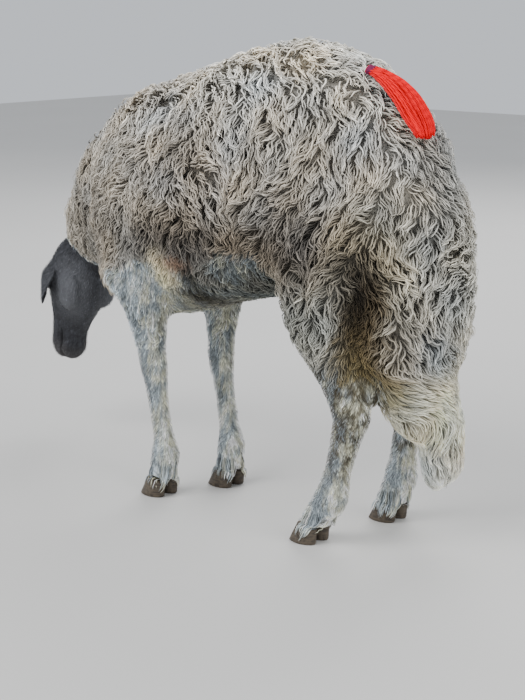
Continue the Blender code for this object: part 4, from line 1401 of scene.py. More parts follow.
@dataclass
class Coat:
    """The fleece and the short hair, as joined solid locks over the skin."""

    skin: Object
    claws: list[Object]
    markings: Markings
    seed: int = 7
    sides: int = 3
    patch: float = 0.003
    piece_limit: int = 190000
    foot_top: float = 0.056
    wool_finish: CoatFinish = CoatFinish("fleece", 0.42, 0.97, 2.05)
    hair_finish: CoatFinish = CoatFinish("short_hair", 0.50, 0.85, 1.25, streaks=0.22)

    def __post_init__(self) -> None:
        """Reads the skin and sets up the fields."""
        self.field = Field(self.skin, self.claws)
        self.root_map = RootMap(self.skin)
        self.lie = Lie()
        self.rng = np.random.default_rng(self.seed)

    def build(self) -> list[Object]:
        """Grows every part of the coat.

        Returns:
            The coat's pieces.
        """
        pieces = []
        for growth, style in STYLES.items():
            strands = self._grow(growth, style)
            log.info("%s: %d locks", growth.value, len(strands.width))
            finish = self.hair_finish if growth in (Growth.HAIR, Growth.FEATHER) else self.wool_finish
            material = finish.make()
            for name in sorted(set(strands.names)):
                chosen = strands.names == name
                pieces += self._pieces(f"{growth.value}_{name}", strands, chosen, material)
        return pieces

    # -- roots
    def _ground(self, growth: Growth) -> Array:
        """The skin's triangles on which a growth has its roots."""
        skin = self.field
        deep, fleece = STYLES[Growth.FLEECE].depths
        middle = STYLES[Growth.FUZZ].depths[0]
        height = skin.face_place[:, 2]
        foot = (skin.face_kind > 0.8) & (skin.face_kind < 1.2) & (height < self.foot_top)
        brush = (self.lie.sleekness(skin.face_place) > 0.5) & (skin.face_kind < 0.8)
        face = HEAD.folded(skin.face_place)
        bald = np.linalg.norm(face - np.array(HEAD.eye), axis=1) < 0.0178
        run, far = MUZZLE.slit(face)
        bald |= (far < 0.0085) & (np.abs(run) < 0.0115)
        bald |= (face[:, 0] > 0.222) & (np.abs(MUZZLE.lips(face) - 0.016) < 0.016) & (face[:, 1] < 0.014)
        bald |= (np.abs(MUZZLE.lips(face)) < 0.0035) & (face[:, 0] > 0.180)
        bald &= skin.face_kind > 1.5
        plain = ~foot & ~brush & ~bald
        grounds = {
            Growth.FLEECE: plain & (skin.face_depth >= deep),
            Growth.FUZZ: plain & (skin.face_depth >= middle) & (skin.face_depth < deep),
            Growth.BRUSH: brush,
            Growth.HAIR: plain & (skin.face_depth < middle),
            Growth.FEATHER: foot,
        }
        return grounds[growth] & skin.rooted

    def _scatter(self, spacing_of: object, within: Array) -> tuple[Array, Array]:
        """Throws roots on the skin, no two too close.

        Args:
            spacing_of: A function from depth to the distance between roots.
            within: Which triangles may have roots.

        Returns:
            The roots' places and triangles.
        """
        skin = self.field
        corners = skin.places[skin.triangles]
        edges = corners[:, 1:] - corners[:, :1]
        area = np.linalg.norm(np.cross(edges[:, 0], edges[:, 1]), axis=1) / 2
        spacing = spacing_of(skin.face_depth)
        want = np.where(within, area / spacing**2, 0.0)
        if want.sum() < 1.0:
            return np.empty((0, 3)), np.empty(0, int)
        count = int(want.sum() * 3.2)
        index = self.rng.choice(len(want), size=count, p=want / want.sum())
        shares = self.rng.dirichlet((1.0, 1.0, 1.0), count)
        points = (corners[index] * shares[:, :, None]).sum(1)
        tree = point_tree(points)
        free = np.ones(count, bool)
        keep = []
        reach = (0.80 * spacing[index]).tolist()
        for number, point in enumerate(points.tolist()):
            if not free[number]:
                continue
            keep.append(number)
            for _, other, _ in tree.find_range(point, reach[number]):
                free[other] = False
        return points[keep], index[keep]

    def _comb(
        self, points: Array, faces: Array, length: Array, style: LockStyle, turn: Array
    ) -> tuple[Array, Array, Array]:
        """Walks along the skin from each root, the way the coat lies.

        Args:
            points: The roots.
            faces: The triangles they lie on.
            length: How far each lock goes.
            style: The locks' style; past its bend, the least dot product of two normals in one
                step, a lock goes straight on.
            turn: For each lock, how far it leaves the coat's way at its root, and how much more
                it has turned at its tip.

        Returns:
            The places, the normals and the depths at every step of every lock.
        """
        skin = self.field
        stride = (length / style.steps)[:, None]
        places, normals, depths = [points], [skin.face_normal[faces]], [skin.face_depth[faces]]
        kind = skin.face_kind[faces]
        for step in range(style.steps):
            way = self.lie.at(places[-1], normals[-1], kind)
            angle = (turn[:, 0] + turn[:, 1] * (step + 0.5) / style.steps)[:, None]
            way = way * np.cos(angle) + np.cross(normals[-1], way) * np.sin(angle)
            hits, index = skin.nearest(places[-1] + way * stride)
            normal = skin.face_normal[index]
            leapt = np.linalg.norm(hits - places[-1], axis=1) > 1.5 * stride[:, 0]
            leapt |= (normal * normals[-1]).sum(1) < style.bend
            ahead = places[-1] + way * stride * 0.5
            places.append(np.where(leapt[:, None], ahead, hits))
            normals.append(np.where(leapt[:, None], normals[-1], unit(normals[-1] * 0.35 + normal * 0.65)))
            depths.append(np.where(leapt, depths[-1], skin.face_depth[index]))
        return np.stack(places, 1), np.stack(normals, 1), np.stack(depths, 1)

    def _grow(self, growth: Growth, style: LockStyle) -> Strands:
        """Grows the locks of one style.

        Args:
            growth: Which growth it is.
            style: Its sizes.

        Returns:
            The locks, ready to be made solid.
        """
        low, high = style.depths
        ground = self._ground(growth)

        def between(pair: Pair, depth: Array) -> Array:
            return np.interp(depth, (low, high), pair)

        rng, skin = self.rng, self.field
        points, faces = self._scatter(lambda depth: between(style.spacing, depth), ground)
        count = len(points)
        depth = skin.face_depth[faces]
        length = between(style.length, depth) * rng.uniform(0.80, 1.15, count)
        soft = self.lie.softness(points)
        length = length * (1.0 - 0.28 * soft)
        length = length * self._face_lengths(points, skin.face_kind[faces])
        seeds, seed_faces = self._scatter(lambda d: np.full_like(d, style.staple), ground)
        tree = point_tree(seeds)
        owner = np.array([tree.find(point)[1] for point in points.tolist()])
        turn = np.stack([rng.normal(0.0, most, len(seeds)) for most in (style.wander, style.curl)], 1)
        seed_length = between(style.length, skin.face_depth[seed_faces])
        seed_places, seed_normals, seed_depths = self._comb(seeds, seed_faces, seed_length, style, turn)
        places, normals, depths = self._comb(points, faces, length, style, turn[owner])
        sound = self._sound(places, style) & self._sound(seed_places, style)[owner]
        points, faces, depth = points[sound], faces[sound], depth[sound]
        length, owner, soft = length[sound], owner[sound], soft[sound]
        places, normals, depths = places[sound], normals[sound], depths[sound]
        count = len(points)
        share = np.linspace(0.0, 1.0, style.steps + 1)[None, :]
        gather = (style.clump * share**1.2)[:, :, None]
        places = places * (1 - gather) + seed_places[owner] * gather
        normals = unit(normals * (1 - gather) + seed_normals[owner] * gather)
        depths = depths * (1 - gather[..., 0]) + seed_depths[owner] * gather[..., 0]
        lift = 0.06 + 0.94 * ramp(share, 0.0, 0.58) - 0.10 * share**4
        lift = lift * rng.uniform(0.66, 1.04, (count, 1))
        stray = (rng.random(count) < style.stray)[:, None] * rng.uniform(0.05, 0.22, (count, 1))
        lump = rng.uniform(0.88, 1.05, len(seeds))[owner] * (1.0 + 0.10 * Ripple(52, 0.05).at(points))
        rise = depths * (lift * lump[:, None] + stray * share**2)
        hanging = self.lie.brisket.weight(points) * rng.uniform(0.4, 1.0, count)
        rise = rise + 0.012 * hanging[:, None] * share
        along = unit(np.gradient(places, axis=1))
        across = unit(np.cross(normals, along))
        phase = 4.0 * Ripple(51, 0.040).at(seeds) + rng.normal(0.0, 0.45, len(seeds))
        phase = phase[owner] + rng.normal(0.0, 0.35, count)
        amount = style.swing * rng.uniform(0.60, 1.30, (count, 1)) * ramp(share, 0.0, 0.30)
        angle = 2 * math.pi * length[:, None] * share / style.wavelength + phase[:, None]
        sway, bob = amount * np.sin(angle), 0.60 * amount * np.cos(angle * 1.07)
        middle = places + normals * (rise + bob)[..., None] + across * sway[..., None]
        taper = (0.50 + 0.50 * ramp(share, 0.0, 0.35)) * (1 - share**2.6) ** 0.75
        fine = 1.0 - 0.30 * ramp(skin.face_kind[faces], 1.4, 1.8)[:, None]
        width = between(style.width, depth)[:, None] * taper * rng.uniform(0.70, 1.25, (count, 1)) * fine
        width = width * (1.0 - 0.16 * soft[:, None])
        colour = self._tints(points, skin.face_kind[faces], style.tint)
        return Strands(middle, normals, width, rng.uniform(0.40, 0.68, count), self.root_map.at(points),
                       colour, self._regions(points, skin.face_kind[faces]))  # fmt: skip

    @staticmethod
    def _face_lengths(points: Array, kind: Array) -> Array:
        """How much shorter the head's hair is, and how much longer at the ears' rims and poll."""
        local = HEAD.to_head(points)
        ear = ramp(np.abs(local[:, 1]), 0.048, 0.066) * (1.0 - ramp(local[:, 0], 0.075, 0.10))
        poll = 1.0 - ramp(local[:, 0], -0.005, 0.045)
        return 1.0 + ramp(kind, 1.4, 1.8) * (-0.25 + 0.95 * ear + 0.55 * poll * (1 - ear))

    @staticmethod
    def _sound(places: Array, style: LockStyle) -> Array:
        """Which locks neither stop nor double back on their way."""
        steps = np.diff(places, axis=1)
        long = np.linalg.norm(steps, axis=2)
        ways = unit(steps)
        sharp = (ways[:, 1:] * ways[:, :-1]).sum(2).min(1) if style.steps > 1 else np.ones(len(places))
        return (long.min(1) > 0.30 * np.median(long, axis=1)) & (sharp > -0.1)

    def _tints(self, points: Array, kind: Array, spread_of: float) -> Array:
        """Each lock's colour: the marking's, a little lighter or darker."""
        colour = self.markings.colours(points, kind)
        face = ramp(kind, 1.4, 1.8)[:, None]
        return colour * (1.0 + 0.9 * face) * np.exp(self.rng.normal(0.0, spread_of, (len(points), 1)))

    @staticmethod
    def _regions(points: Array, kind: Array) -> Array:
        """The name of the part of the body that each lock grows on."""
        neck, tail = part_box("neck"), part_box("tail_upper")
        middle = spot("trunk", 0.5, 0.5, 0.5)
        side = np.where(points[:, 1] < middle[1], LEFT, RIGHT)
        side = np.where(kind >= 1.5, np.where(HEAD.to_head(points)[:, 1] > 0.0, LEFT, RIGHT), side)
        borders = (neck[1][0] - 0.045, middle[0] - 0.045, middle[0] + 0.075)
        before = [points[:, 0] < border for border in borders]
        length = np.select(before, ["neck", "shoulder", "flank"], "thigh")
        names = np.char.add(np.char.add(length, "_"), side)
        on_tail = (points[:, 0] > tail[0][0] + 0.015) & (points[:, 2] < tail[1][2] + 0.03)
        on_tail &= (points[:, 0] - tail[0][0]) * 1.3 + (tail[0][2] - points[:, 2]) * 0.1 > 0.02
        high = np.where(points[:, 2] > (tail[0][2] + tail[1][2]) / 2, "tail_upper_", "tail_lower_")
        names = np.where(on_tail & (kind < 0.8), np.char.add(high, side), names)
        names = np.where((kind >= 0.8) & (kind < 1.5), np.char.add("leg_", side), names)
        return np.where(kind >= 1.5, np.char.add("head_", side), names)

    # -- solids
    def _pieces(self, name: str, strands: Strands, chosen: Array, material: Material) -> list:
        """Makes the chosen locks solid, in as many pieces as the limit asks."""
        numbers = np.nonzero(chosen)[0]
        steps = strands.middle.shape[1] - 1
        each = 2 * self.sides * (steps - 1) + self.sides + 1
        parts = max(1, math.ceil(len(numbers) * each / self.piece_limit))
        order = numbers[np.argsort(strands.middle[numbers, 0, 2])]
        made = []
        for number, group in enumerate(np.array_split(order, parts)):
            title = name if parts == 1 else f"{name}_{number + 1}"
            made.append(self._solid(title, strands, group, material))
        return made

    def _solid(self, name: str, strands: Strands, group: Array, material: Material) -> Object:
        """Joins tapering locks into one mesh, each closed at its root and pointed at its tip."""
        middle, normal, width = strands.middle[group], strands.normal[group], strands.width[group]
        count, rings = middle.shape[0], middle.shape[1] - 1
        sides = self.sides
        along = unit(np.gradient(middle, axis=1))
        across = unit(np.cross(normal, along))
        above = np.cross(along, across)
        turns = math.pi / 2 + 2 * math.pi * np.arange(sides) / sides
        half = (width / 2)[:, :rings, None, None]
        flat = strands.flat[group][:, None, None, None]
        ring = middle[:, :rings, None, :] + half * (
            across[:, :rings, None, :] * np.cos(turns)[None, None, :, None]
            + flat * above[:, :rings, None, :] * np.sin(turns)[None, None, :, None]
        )
        points = np.concatenate([ring.reshape(count, rings * sides, 3), middle[:, -1:, :]], 1)
        each = rings * sides + 1
        quads, quad_map = [], []
        for step in range(rings - 1):
            for side in range(sides):
                after = (side + 1) % sides
                quads.append((step * sides + side, step * sides + after,
                              (step + 1) * sides + after, (step + 1) * sides + side))  # fmt: skip
                quad_map.append(((side, step), (side + 1, step), (side + 1, step + 1), (side, step + 1)))
        triples, triple_map = [], []
        last = (rings - 1) * sides
        for side in range(sides):
            triples.append((last + side, last + (side + 1) % sides, rings * sides))
            triple_map.append(((side, rings - 1), (side + 1, rings - 1), (side + 0.5, rings)))
        triples.append(tuple(reversed(range(sides))))
        triple_map.append(tuple((side, 0) for side in reversed(range(sides))))
        starts = (np.arange(count) * each)[:, None, None]
        corners = np.concatenate([
            (np.array(quads)[None] + starts).reshape(count, -1),
            (np.array(triples)[None] + starts).reshape(count, -1),
        ], 1).astype(np.int32)  # fmt: skip
        sizes = np.tile(np.array([4] * len(quads) + [3] * len(triples), np.int32), count)
        mesh = bpy.data.meshes.new(name)
        mesh.vertices.add(count * each)
        mesh.vertices.foreach_set("co", points.astype(np.float32).ravel())
        mesh.loops.add(corners.size)
        mesh.loops.foreach_set("vertex_index", corners.ravel())
        mesh.polygons.add(len(sizes))
        first_loops = np.concatenate([[0], np.cumsum(sizes)[:-1]]).astype(np.int32)
        mesh.polygons.foreach_set("loop_start", first_loops)
        mesh.update(calc_edges=True)
        shape = np.array([p for q in quad_map for p in q] + [p for t in triple_map for p in t], float)
        shape /= np.array((sides, rings))
        patch = strands.root_map[group][:, None, :] + (shape[None] - 0.5) * self.patch
        bake = mesh.uv_layers.new(name="OFBake")
        bake.data.foreach_set("uv", patch.astype(np.float32).ravel())
        strand = mesh.uv_layers.new(name="Strand")
        shifted = shape[None] + (np.arange(count) * 1.37)[:, None, None] * np.array((1.0, 0.73))
        strand.data.foreach_set("uv", shifted.astype(np.float32).ravel())
        share = np.append(np.repeat(np.arange(rings) / rings, sides), 1.0)
        write_attribute(mesh, "along", np.tile(share, count))
        write_attribute(mesh, "coat_colour", np.repeat(strands.colour[group], each, axis=0))
        mesh.shade_smooth()
        mesh.materials.append(material)
        return link(name, mesh)


# ---------------------------------------------------------------- eyes, claws and tassel
@dataclass(frozen=True)
class EyeFinish:
    """An amber iris with a level pupil, whose half-length and half-height are slot; it is wet."""

    centre: Triple
    turn: Triple
    name: str = "eye"
    iris: Triple = (0.200, 0.098, 0.022)
    pupil: Triple = (0.004, 0.005, 0.007)
    slot: Pair = (0.0046, 0.0017)

    def make(self) -> Material:
        """Builds the material in the eye's own frame: X along the slot, Z outwards."""
        nodes = Nodes(self.name)
        local = nodes.add("ShaderNodeMapping", vector_type="TEXTURE")
        local.inputs["Location"].default_value = self.centre
        local.inputs["Rotation"].default_value = self.turn
        nodes.join(nodes.place(), local.inputs["Vector"])
        x, y = (nodes.maths("ABSOLUTE", part) for part in nodes.parts(local.outputs["Vector"]))
        squares = nodes.maths("ADD", nodes.maths("POWER", x, 2.0), nodes.maths("POWER", y, 2.0))
        radius = nodes.maths("MULTIPLY", nodes.maths("SQRT", squares), 100.0)
        fibres = nodes.noise(local.outputs["Vector"], 700.0, 3.0)
        amber = nodes.colours(fibres, ((0.3, tuple(0.55 * c for c in self.iris)), (0.7, self.iris)))
        ring = nodes.greys(radius, (0.0, 1.0), (0.52, 1.0), (0.72, 0.12), (0.80, 0.03))
        iris = nodes.mix("MULTIPLY", 1.0, amber, ring)
        across = nodes.maths("POWER", nodes.maths("DIVIDE", x, self.slot[0]), 4.0)
        along = nodes.maths("POWER", nodes.maths("DIVIDE", y, self.slot[1]), 4.0)
        outside = nodes.greys(nodes.maths("ADD", across, along), (0.80, 1.0), (1.0, 0.0))
        base = nodes.mix("MIX", outside, iris, (*self.pupil, 1.0))
        return nodes.finish(base, roughness=0.12, specular=0.3, coat=0.35, coat_roughness=0.03)


@dataclass
class Eye:
    """An eyeball with a raised cornea, deep in its lids."""

    side: str
    radius: float = 0.0131
    sunk: float = 0.0010

    def build(self) -> Object:
        """Models the eyeball.

        Returns:
            The eye, which replaces the node of its side.
        """
        sign = 1.0 if self.side == LEFT else -1.0
        turned = HEAD.matrix().to_3x3()
        x, y, z = HEAD.gaze
        outwards = (turned @ Vector((x, y * sign, z))).normalized()
        level = outwards.cross(UP).normalized()
        matrix = Matrix((level, outwards.cross(level), outwards)).transposed()
        centre = Vector(spot(f"eye_{self.side}", 0.5, 0.5, 0.5)) - outwards * self.sunk
        deselect_all()
        bpy.ops.mesh.primitive_uv_sphere_add(segments=40, ring_count=28, radius=self.radius)
        eye = bpy.context.object
        eye.name = f"eyeball_{self.side}"
        places = coordinates(eye.data)
        reach = np.linalg.norm(places[:, :2], axis=1)
        bulge = np.where(places[:, 2] > 0, 0.0009 * (1 - ramp(reach, 0.004, 0.0085)), 0.0)
        places[:, 2] += bulge
        set_coordinates(eye.data, places)
        eye.matrix_world = Matrix.Translation(centre) @ matrix.to_4x4()
        place_mesh(eye)
        bpy.ops.object.shade_smooth()
        finish = EyeFinish(tuple(centre), tuple(matrix.to_euler()), name=f"eye_{self.side}")
        eye.data.materials.append(finish.make())
        return eye


@dataclass(frozen=True)
class HornFinish:
    """Dull dark horn with growth rings and dried dirt."""

    name: str = "horn"

    def make(self) -> Material:
        """Builds the material."""
        nodes = Nodes(self.name)
        place = nodes.place()
        growth = nodes.noise(nodes.scaled(place, (40.0, 40.0, 420.0)), 1.0, 2.0)
        dirt = nodes.noise(place, 160.0, 4.0)
        horn = nodes.colours(growth, ((0.35, (0.030, 0.022, 0.016)), (0.65, (0.085, 0.065, 0.045))))
        earth = nodes.greys(dirt, (0.45, 0.0), (0.62, 0.75))
        base = nodes.mix("MIX", earth, horn, (0.105, 0.082, 0.055, 1.0))
        nodes.bump(nodes.maths("ADD", growth, dirt), 0.5, 0.0012)
        return nodes.finish(base, roughness=0.62)


@dataclass
class Claw:
    """A claw with a rounded wall over a flat sole."""

    node: str
    edge: float = 0.0022
    crease: float = math.radians(50.0)

    def build(self, material: Material) -> Object:
        """Rounds a copy of the claw's solid.

        Args:
            material: The horn.

        Returns:
            The claw, which replaces its node.
        """
        claw = link(self.node.replace("claw", "hoof"), bpy.data.objects[self.node].data.copy())
        activate(claw)
        bpy.ops.object.mode_set(mode="EDIT")
        bpy.ops.mesh.select_all(action="SELECT")
        bpy.ops.mesh.remove_doubles(threshold=0.00001)
        bpy.ops.mesh.dissolve_limited(angle_limit=math.radians(4.0))
        bpy.ops.object.mode_set(mode="OBJECT")
        modify(claw, "BEVEL", width=self.edge, segments=3, limit_method="ANGLE", angle_limit=self.crease)
        apply_modifiers(claw)
        bpy.ops.object.shade_smooth()
        bpy.ops.object.shade_smooth_by_angle(angle=self.crease)
        claw.data.materials.clear()
        claw.data.materials.append(material)
        return claw


@dataclass(frozen=True)
class YarnFinish:
    """Soft spun yarn: two plies twisted round each other, drawn as slanting stripes of painted shade in
    the grooves between them.
    """

    name: str
    shade: float = 0.45

    def make(self) -> Material:
        """Builds the material, which reads the map Strand and the attribute coat_colour."""
        nodes = Nodes(self.name)
        across, along = nodes.parts(nodes.strand())
        slant = nodes.maths("MULTIPLY", along, 260.0)
        slant = nodes.maths("ADD", slant, nodes.maths("MULTIPLY", across, 2 * math.pi))
        twist = nodes.maths("ABSOLUTE", nodes.maths("SINE", slant))
        # Painted shade in the grooves of the twist.
        stripe = nodes.greys(twist, (0.0, self.shade), (0.6, 1.0))
        nodes.bump(twist, 0.6, 0.0006)
        base = nodes.mix("MULTIPLY", 1.0, nodes.read("coat_colour", "Color"), stripe)
        return nodes.finish(base, roughness=0.85, specular=0.08)


@dataclass
class Tassel:
    """A red yarn tassel that lies on the croup: strands from a bound knot to a blunt end."""

    skin_tree: BVHTree
    strands: int = 190
    steps: int = 26
    thread: float = 0.0011
    seed: int = 5
    red: Triple = (0.95, 0.001, 0.012)
    pink: Triple = (0.72, 0.018, 0.022)
    purple: Triple = (0.22, 0.03, 0.09)

    # From the knot's low x: how far along x and y, and the half-width and half-thickness there.
    PATH = (
        (0.001, 0.0010, 0.0065, 0.0050),
        (0.021, 0.0080, 0.0165, 0.0095),
        (0.046, 0.0115, 0.0235, 0.0120),
        (0.071, 0.0110, 0.0262, 0.0120),
        (0.088, 0.0095, 0.0240, 0.0105),
        (0.099, 0.0080, 0.0165, 0.0065),
    )

    def _frames(self) -> tuple[Array, Array, Array, Array, Array]:
        """Middle, across, outward, half-width and half-thickness along the tassel."""
        rows = rounded(np.array(self.PATH), 8)
        low = spot("tassel_knot", 0.0, 0.0, 0.0)
        start = np.array((low[0], spot("tassel_knot", 0.0, 0.24, 0.0)[1]))
        places, normals = [], []
        for x, y in rows[:, :2] + start:
            place, normal, _, _ = self.skin_tree.ray_cast(Vector((x, y, 1.0)), -UP)
            places.append(place[:])
            normals.append(normal[:])
        places = np.array(places)
        normals = np.array(normals)
        for _ in range(6):
            normals[1:-1] = (normals[:-2] + normals[1:-1] + normals[2:]) / 3
            places[1:-1] = (places[:-2] + 2 * places[1:-1] + places[2:]) / 4
        run = unit(np.gradient(places, axis=0))
        outward = unit(normals - run * (normals * run).sum(1, keepdims=True))
        across = np.cross(run, outward)
        return places, across, outward, rows[:, 2], rows[:, 3]

    def build(self) -> tuple[Object, Object]:
        """Models the skirt and the knot.

        Returns:
            The skirt of strands and the bound knot.
        """
        frames = self._frames()
        return self._skirt(frames), self._knot(frames)

    def _skirt(self, frames: tuple) -> Object:
        """Lays the strands side by side in the skirt's flat oval."""
        places, across, outward, wide, thick = frames
        rng = np.random.default_rng(self.seed)
        count, rows = self.strands, len(places)
        side = np.sort(np.clip(rng.uniform(-1.0, 1.0, count), -0.97, 0.97))
        up = rng.uniform(-0.2, 1.0, count) * np.sqrt(1 - side**2)
        ends = rng.uniform(0.935, 1.01, count) - 0.05 * side**2
        share = np.linspace(0.10, 1.0, self.steps)[None, :] * ends[:, None]
        at = np.clip(share * (rows - 1), 0, rows - 1)
        phase = rng.uniform(0, 2 * math.pi, (count, 1))
        drift = 0.05 * np.sin(5.0 * share + phase) + 0.025 * np.sin(17.0 * share + 2 * phase)
        beyond = np.maximum(share - 1.0, 0.0)[..., None] * (places[-1] - places[-4]) * 4.0
        lateral = (side[:, None] + drift) * rows_at(wide, at)
        height = (0.62 + (up[:, None] + drift) * 0.88) * rows_at(thick, at)
        middle = rows_at(places, at) + rows_at(across, at) * lateral[..., None]
        middle = middle + rows_at(outward, at) * height[..., None] + beyond
        rim = np.abs(side) > 0.95
        colour = np.where(rim[:, None], self.pink, self.red) * np.exp(rng.normal(0, 0.13, (count, 1)))
        radius = self.thread * rng.uniform(0.85, 1.2, count)
        skirt = tubes("tassel_strands", middle, radius, colour, 5)
        skirt.data.materials.append(YarnFinish("red_yarn").make())
        return skirt

    def _knot(self, frames: tuple) -> Object:
        """Winds thread round the tassel's narrow head."""
        places, across, outward, wide, thick = frames
        turns, points = 9, 24 * 9
        angle = np.linspace(0, 2 * math.pi * turns, points)
        at = np.linspace(0.6, 3.4, points)
        swell = 1.04 + 0.04 * np.sin(7 * angle)
        half = np.minimum(rows_at(wide, at), 0.0072) * swell
        thickness = rows_at(thick, at)
        rise = np.minimum(thickness, 0.0058) * swell
        height = 0.85 * thickness + rise * np.sin(angle)
        middle = rows_at(places, at) + rows_at(outward, at) * height[:, None]
        middle = middle + rows_at(across, at) * (half * np.cos(angle))[:, None]
        at = np.linspace(0.0, 8.0, points)
        thickness = rows_at(thick, at)
        half = 0.72 * np.minimum(rows_at(wide, at), 0.017)
        core = []
        for turn in np.linspace(0, 2 * math.pi, 12, endpoint=False):
            height = 0.85 * thickness + 0.72 * thickness * math.sin(turn)
            inner = rows_at(places, at) + rows_at(outward, at) * height[:, None]
            core.append(inner + rows_at(across, at) * (half * math.cos(turn))[:, None])
        colour = np.array([self.purple] + [self.red] * len(core))
        radius = np.array([0.0013] + [0.0019] * len(core))
        knot = tubes("tassel_binding", np.array([middle] + core), radius, colour, 6)
        knot.data.materials.append(YarnFinish("bound_thread").make())
        return knot


def rows_at(values: Array, at: Array) -> Array:
    """Reads rows, or single numbers, at places between them.

    Args:
        values: A row or a number for each whole place.
        at: The places to read.

    Returns:
        A row or a number for each place.
    """
    low = np.minimum(at.astype(int), len(values) - 2)
    share = (at - low)[..., None] if values.ndim > 1 else at - low
    return values[low] * (1 - share) + values[low + 1] * share


def tubes(name: str, middle: Array, radius: Array, colour: Array, sides: int) -> Object:
    """Round closed threads along rows of points, joined in one mesh.

    Args:
        name: The piece's name.
        middle: For each thread a row of points.
        radius: Each thread's radius.
        colour: Each thread's colour.
        sides: How many sides a thread has.

    Returns:
        The joined threads, with the map Strand and the attribute coat_colour.
    """
    bm = bmesh.new()
    strand = bm.loops.layers.uv.new("Strand")
    tint = bm.verts.layers.float_color.new("coat_colour")
    for points, half, shade in zip(middle, radius, colour):
        run = unit(np.gradient(points, axis=0))
        across = unit(np.cross(run, np.array((0.13, 0.21, 0.97))))
        above = np.cross(run, across)
        length = np.concatenate([[0.0], np.cumsum(np.linalg.norm(np.diff(points, axis=0), axis=1))])
        rings = []
        for i, point in enumerate(points):
            slim = half * (0.6 if i in (0, len(points) - 1) else 1.0)
            ring = []
            for k in range(sides):
                turn = 2 * math.pi * k / sides
                offset = across[i] * math.cos(turn) + above[i] * math.sin(turn)
                vertex = bm.verts.new(point + slim * offset)
                vertex[tint] = (*shade, 1.0)
                ring.append(vertex)
            rings.append(ring)
        for i, (low, high) in enumerate(zip(rings, rings[1:])):
            for k in range(sides):
                after = (k + 1) % sides
                face = bm.faces.new((low[k], low[after], high[after], high[k]))
                for loop, u, v in zip(face.loops, (k, k + 1, k + 1, k), (i, i, i + 1, i + 1)):
                    loop[strand].uv = (u / sides, length[v])
        bm.faces.new(list(reversed(rings[0])))
        bm.faces.new(rings[-1])
    bmesh.ops.recalc_face_normals(bm, faces=bm.faces[:])
    threads = link_form(name, bm)
    threads.data.shade_smooth()
    return threads


# ---------------------------------------------------------------- the stage
@dataclass(frozen=True)
class Stage:
    """Floor, light and camera; none of it is part of the sheep."""

    eye: Triple = (1.8696, -2.0196, 0.8335)
    heading: float = 0.7148
    pitch: float = 0.2137
    lens: float = 88.97

    def build(self) -> None:
        """Sets the floor, the lights and the camera."""
        self._floor()
        self._world()
        self._light("key", (-0.6, -3.2, 3.2), 3.0, 160.0)
        self._light("fill", (3.4, -0.4, 2.2), 2.4, 62.0)
        self._light("rim", (-1.2, 3.0, 2.8), 2.4, 90.0)
        camera = bpy.data.cameras.new("camera")
        camera.lens = self.lens
        camera.sensor_width = 36.0
        seat = link("camera", camera)
        seat.location = self.eye
        seat.rotation_euler = Euler((math.pi / 2 - self.pitch, 0.0, self.heading))
        bpy.context.scene.camera = seat

    @staticmethod
    def _floor() -> None:
        """A pale floor."""
        bpy.ops.mesh.primitive_plane_add(size=14.0, location=(0.0, 0.0, 0.0))
        floor = bpy.context.object
        floor.name = "floor"
        nodes = Nodes("floor")
        ends = ((0.0, (0.60, 0.59, 0.57)), (1.0, (0.64, 0.63, 0.61)))
        shade = nodes.colours(nodes.noise(nodes.place(), 2.0), ends)
        floor.data.materials.append(nodes.finish(shade, roughness=0.8))

    @staticmethod
    def _world() -> None:
        """Soft light from all round."""
        world = bpy.data.worlds.new("studio")
        world.use_nodes = True
        background = world.node_tree.nodes["Background"]
        background.inputs["Color"].default_value = (0.86, 0.90, 0.96, 1.0)
        background.inputs["Strength"].default_value = 0.80
        bpy.context.scene.world = world

    @staticmethod
    def _light(name: str, place: tuple, size: float, power: float) -> None:
        """A soft square light that faces the sheep."""
        lamp = bpy.data.lights.new(name, "AREA")
        lamp.size = size
        lamp.energy = power
        seat = link(name, lamp)
        seat.location = place
        aim = Vector((0.0, 0.0, 0.35)) - Vector(place)
        seat.rotation_euler = aim.to_track_quat("-Z", "Y").to_euler()


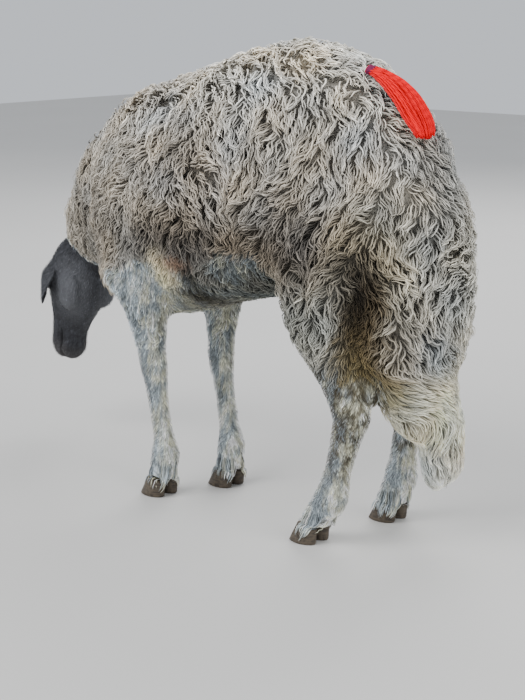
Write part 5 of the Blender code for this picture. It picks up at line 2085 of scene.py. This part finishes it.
def dress_skin(skin: Object, markings: Markings) -> None:
    """Gives the skin its depth, kind and colours.

    Args:
        skin: The finished skin.
        markings: The coat's colours.
    """
    mesh = skin.data
    pairs = edge_pairs(mesh)
    places = coordinates(mesh)
    names = Flesh.names()
    corners, faces, labels = [], [], []
    for number, name in enumerate(names):
        part = bpy.data.objects[name].data
        part.calc_loop_triangles()
        start = len(corners)
        corners += [tuple(v.co) for v in part.vertices]
        faces += [tuple(start + v for v in t.vertices) for t in part.loop_triangles]
        labels += [number] * len(part.loop_triangles)
    tree = BVHTree.FromPolygons(corners, faces)
    found = [tree.find_nearest(point) for point in places.tolist()]
    label = np.array([labels[hit[2]] for hit in found])
    gap = np.array([hit[3] for hit in found])
    short = np.array([name.startswith(("head", "ear")) for name in names])[label]
    foot = np.array([name.endswith(("shank", "foot")) for name in names])[label]
    depth = np.where(short, 0.0026, np.clip(gap, 0.0035, 0.021))
    depth = spread(np.where(foot, np.minimum(depth, 0.0055), depth), pairs, 10)
    head = spread(short.astype(float), pairs, 4)
    fold = ~short & ~foot & (places[:, 2] > 0.435)
    depth = np.maximum(depth, 0.0125 * spread(fold.astype(float), pairs, 6))
    depth = np.maximum(depth, 0.0150 * brisket().weight(places) * ~short)
    kind = np.where(head > 0.01, 2.0 * head, 1.0 - ramp(depth, 0.0062, 0.0110))
    kind = np.maximum(kind, 2.0 * head)
    write_attribute(mesh, "depth", depth)
    write_attribute(mesh, "kind", kind)
    write_attribute(mesh, "shown", 1.0 - ramp(depth, 0.0055, 0.0105))
    write_attribute(mesh, "coat_colour", markings.colours(places, kind))
    mesh.shade_smooth()
    mesh.materials.clear()
    mesh.materials.append(SkinFinish().make())


def solid_tree(node: str) -> BVHTree:
    """A search tree of one node's solid."""
    mesh = bpy.data.objects[node].data
    mesh.calc_loop_triangles()
    places = [vertex.co[:] for vertex in mesh.vertices]
    return BVHTree.FromPolygons(places, [triangle.vertices[:] for triangle in mesh.loop_triangles])


def main() -> None:
    """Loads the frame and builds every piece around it."""
    logging.basicConfig(level=logging.INFO, format="%(name)s: %(message)s")
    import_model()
    deselect_all()
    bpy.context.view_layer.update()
    Stage().build()
    markings = Markings()
    skin = Skin().build()
    dress_skin(skin, markings)
    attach(skin, BODY)
    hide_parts(*Flesh.names())
    log.info("skin: %d faces", len(skin.data.polygons))
    for side in SIDES:
        eye = Eye(side).build()
        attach(eye, BODY)
        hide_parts(f"eye_{side}")
    horn = HornFinish().make()
    claws = []
    for leg in ("fore", "hind"):
        for side in SIDES:
            for claw in ("outer", "inner"):
                node = f"claw_{leg}_{side}_{claw}"
                hoof = Claw(node).build(horn)
                claws.append(hoof)
                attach(hoof, BODY)
                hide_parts(node)
    skirt, knot = Tassel(solid_tree("trunk")).build()
    for piece, node in ((skirt, "tassel_skirt"), (knot, "tassel_knot")):
        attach(piece, BODY)
        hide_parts(node)
    for piece in Coat(skin, claws, markings).build():
        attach(piece, BODY)
        log.info("%s: %d faces", piece.name, len(piece.data.polygons))


if __name__ == "__main__":
    main()
